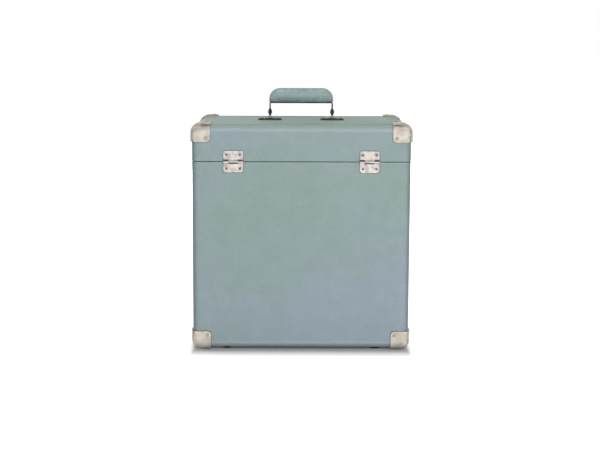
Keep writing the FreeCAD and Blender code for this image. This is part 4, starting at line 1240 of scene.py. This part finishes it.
@dataclass(frozen=True)
class Lamp:
    """A soft rectangular light.

    Attributes:
        name: Its name.
        place: Where it hangs.
        aim: The point that it faces.
        size: Its width and height.
        power: Its power in watts.
    """

    name: str
    place: tuple[float, float, float]
    aim: tuple[float, float, float]
    size: tuple[float, float]
    power: float

    def hang(self) -> None:
        """Hang the light where no mirrored ray sees it."""
        light = bpy.data.lights.new(self.name, "AREA")
        light.shape = "RECTANGLE"
        light.size, light.size_y = self.size
        light.energy = self.power
        lamp = stand(self.name, light)
        lamp.location = self.place
        toward = Vector(self.aim) - Vector(self.place)
        lamp.rotation_euler = toward.to_track_quat("-Z", "Y").to_euler()
        lamp.visible_glossy = False


@dataclass
class Studio:
    """The pale floor, the soft lights and the camera of the photograph."""

    focal: float = 68.34
    camera_place: tuple[float, float, float] = (-0.0148, -1.952, 0.51)
    pitch: float = -7.0
    roll: float = 0.187
    shift: tuple[float, float] = (0.0129, -0.0745)
    sky: Colour = (0.96, 0.98, 1.0, 1.0)
    sky_strength: float = 0.2
    sensor: float = 36.0
    floor_half: float = 6.0
    lamps: tuple[Lamp, ...] = (
        Lamp("key_light", (0.5, -2.45, 1.55), (0, 0, 0.15), (1.3, 1.1), 49),
        Lamp("top_light", (0.0, 0.1, 2.2), (0, 0, 0.3), (1.4, 1.4), 5),
        Lamp("low_light", (0.3, -1.5, 0.1), (0, 0, 0.1), (1.5, 0.16), 7.4),
        Lamp("far_light", (0.0, 2.6, 1.0), (0, 0, 0.2), (1.5, 0.9), 55),
        Lamp("side_light", (-2.4, 1.3, 0.9), (0, 0, 0.2), (1.2, 0.9), 22),
    )

    def build(self) -> None:
        """Set the world, the floor, the lights and the camera."""
        scene = bpy.context.scene
        scene.view_settings.view_transform = "Standard"
        self.light_world(scene)
        self.lay_floor()
        for lamp in self.lamps:
            lamp.hang()
        self.set_camera()

    def light_world(self, scene: bpy.types.Scene) -> None:
        """Make a soft even world that shows as plain white behind the case."""
        world = bpy.data.worlds.new("studio")
        world.use_nodes = True
        scene.world = world
        world.node_tree.nodes.clear()
        shader = ShaderTree(world.node_tree)
        path = shader.add("ShaderNodeLightPath").outputs
        seen = shader.maths("MAXIMUM", path["Is Camera Ray"], path["Is Transmission Ray"])
        seen = shader.maths("MAXIMUM", seen, path["Is Glossy Ray"])
        soft = shader.add("ShaderNodeBackground", {"Color": self.sky, "Strength": self.sky_strength})
        plain = shader.add("ShaderNodeBackground", {"Color": WHITE, "Strength": 1.0})
        mixed = shader.add("ShaderNodeMixShader", {"Fac": seen})
        shader.feed(mixed.inputs[1], soft.outputs[0])
        shader.feed(mixed.inputs[2], plain.outputs[0])
        shader.add("ShaderNodeOutputWorld", {"Surface": mixed.outputs[0]})

    def lay_floor(self) -> None:
        """Lay the floor under the case."""
        mesh = bmesh.new()
        bmesh.ops.create_grid(mesh, x_segments=1, y_segments=1, size=self.floor_half)
        data = bpy.data.meshes.new("floor")
        mesh.to_mesh(data)
        mesh.free()
        data.materials.append(PaleFloor("studio_floor").material())
        stand("floor", data)

    def set_camera(self) -> None:
        """Stand the camera where the photograph was taken."""
        data = bpy.data.cameras.new("camera")
        data.lens = self.focal
        data.sensor_width = self.sensor
        data.shift_x, data.shift_y = self.shift
        camera = stand("camera", data)
        camera.location = self.camera_place
        raised = Matrix.Rotation(math.radians(90 + self.pitch), 3, "X")
        camera.rotation_euler = (raised @ Matrix.Rotation(math.radians(self.roll), 3, "Z")).to_euler()
        bpy.context.scene.camera = camera


def main() -> None:
    """Load the frame, dress and build every piece, and light the scene."""
    logging.basicConfig(level=logging.INFO, format="%(name)s: %(message)s")
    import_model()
    finishes = Finishes(*block(*COVERINGS))
    for assembly in (Case, Guards, Latches, Hinges, Handle, Grip):
        LOG.info("building the %s", assembly.__name__.lower())
        assembly(finishes).build()
    Studio().build()


if __name__ == "__main__":
    main()
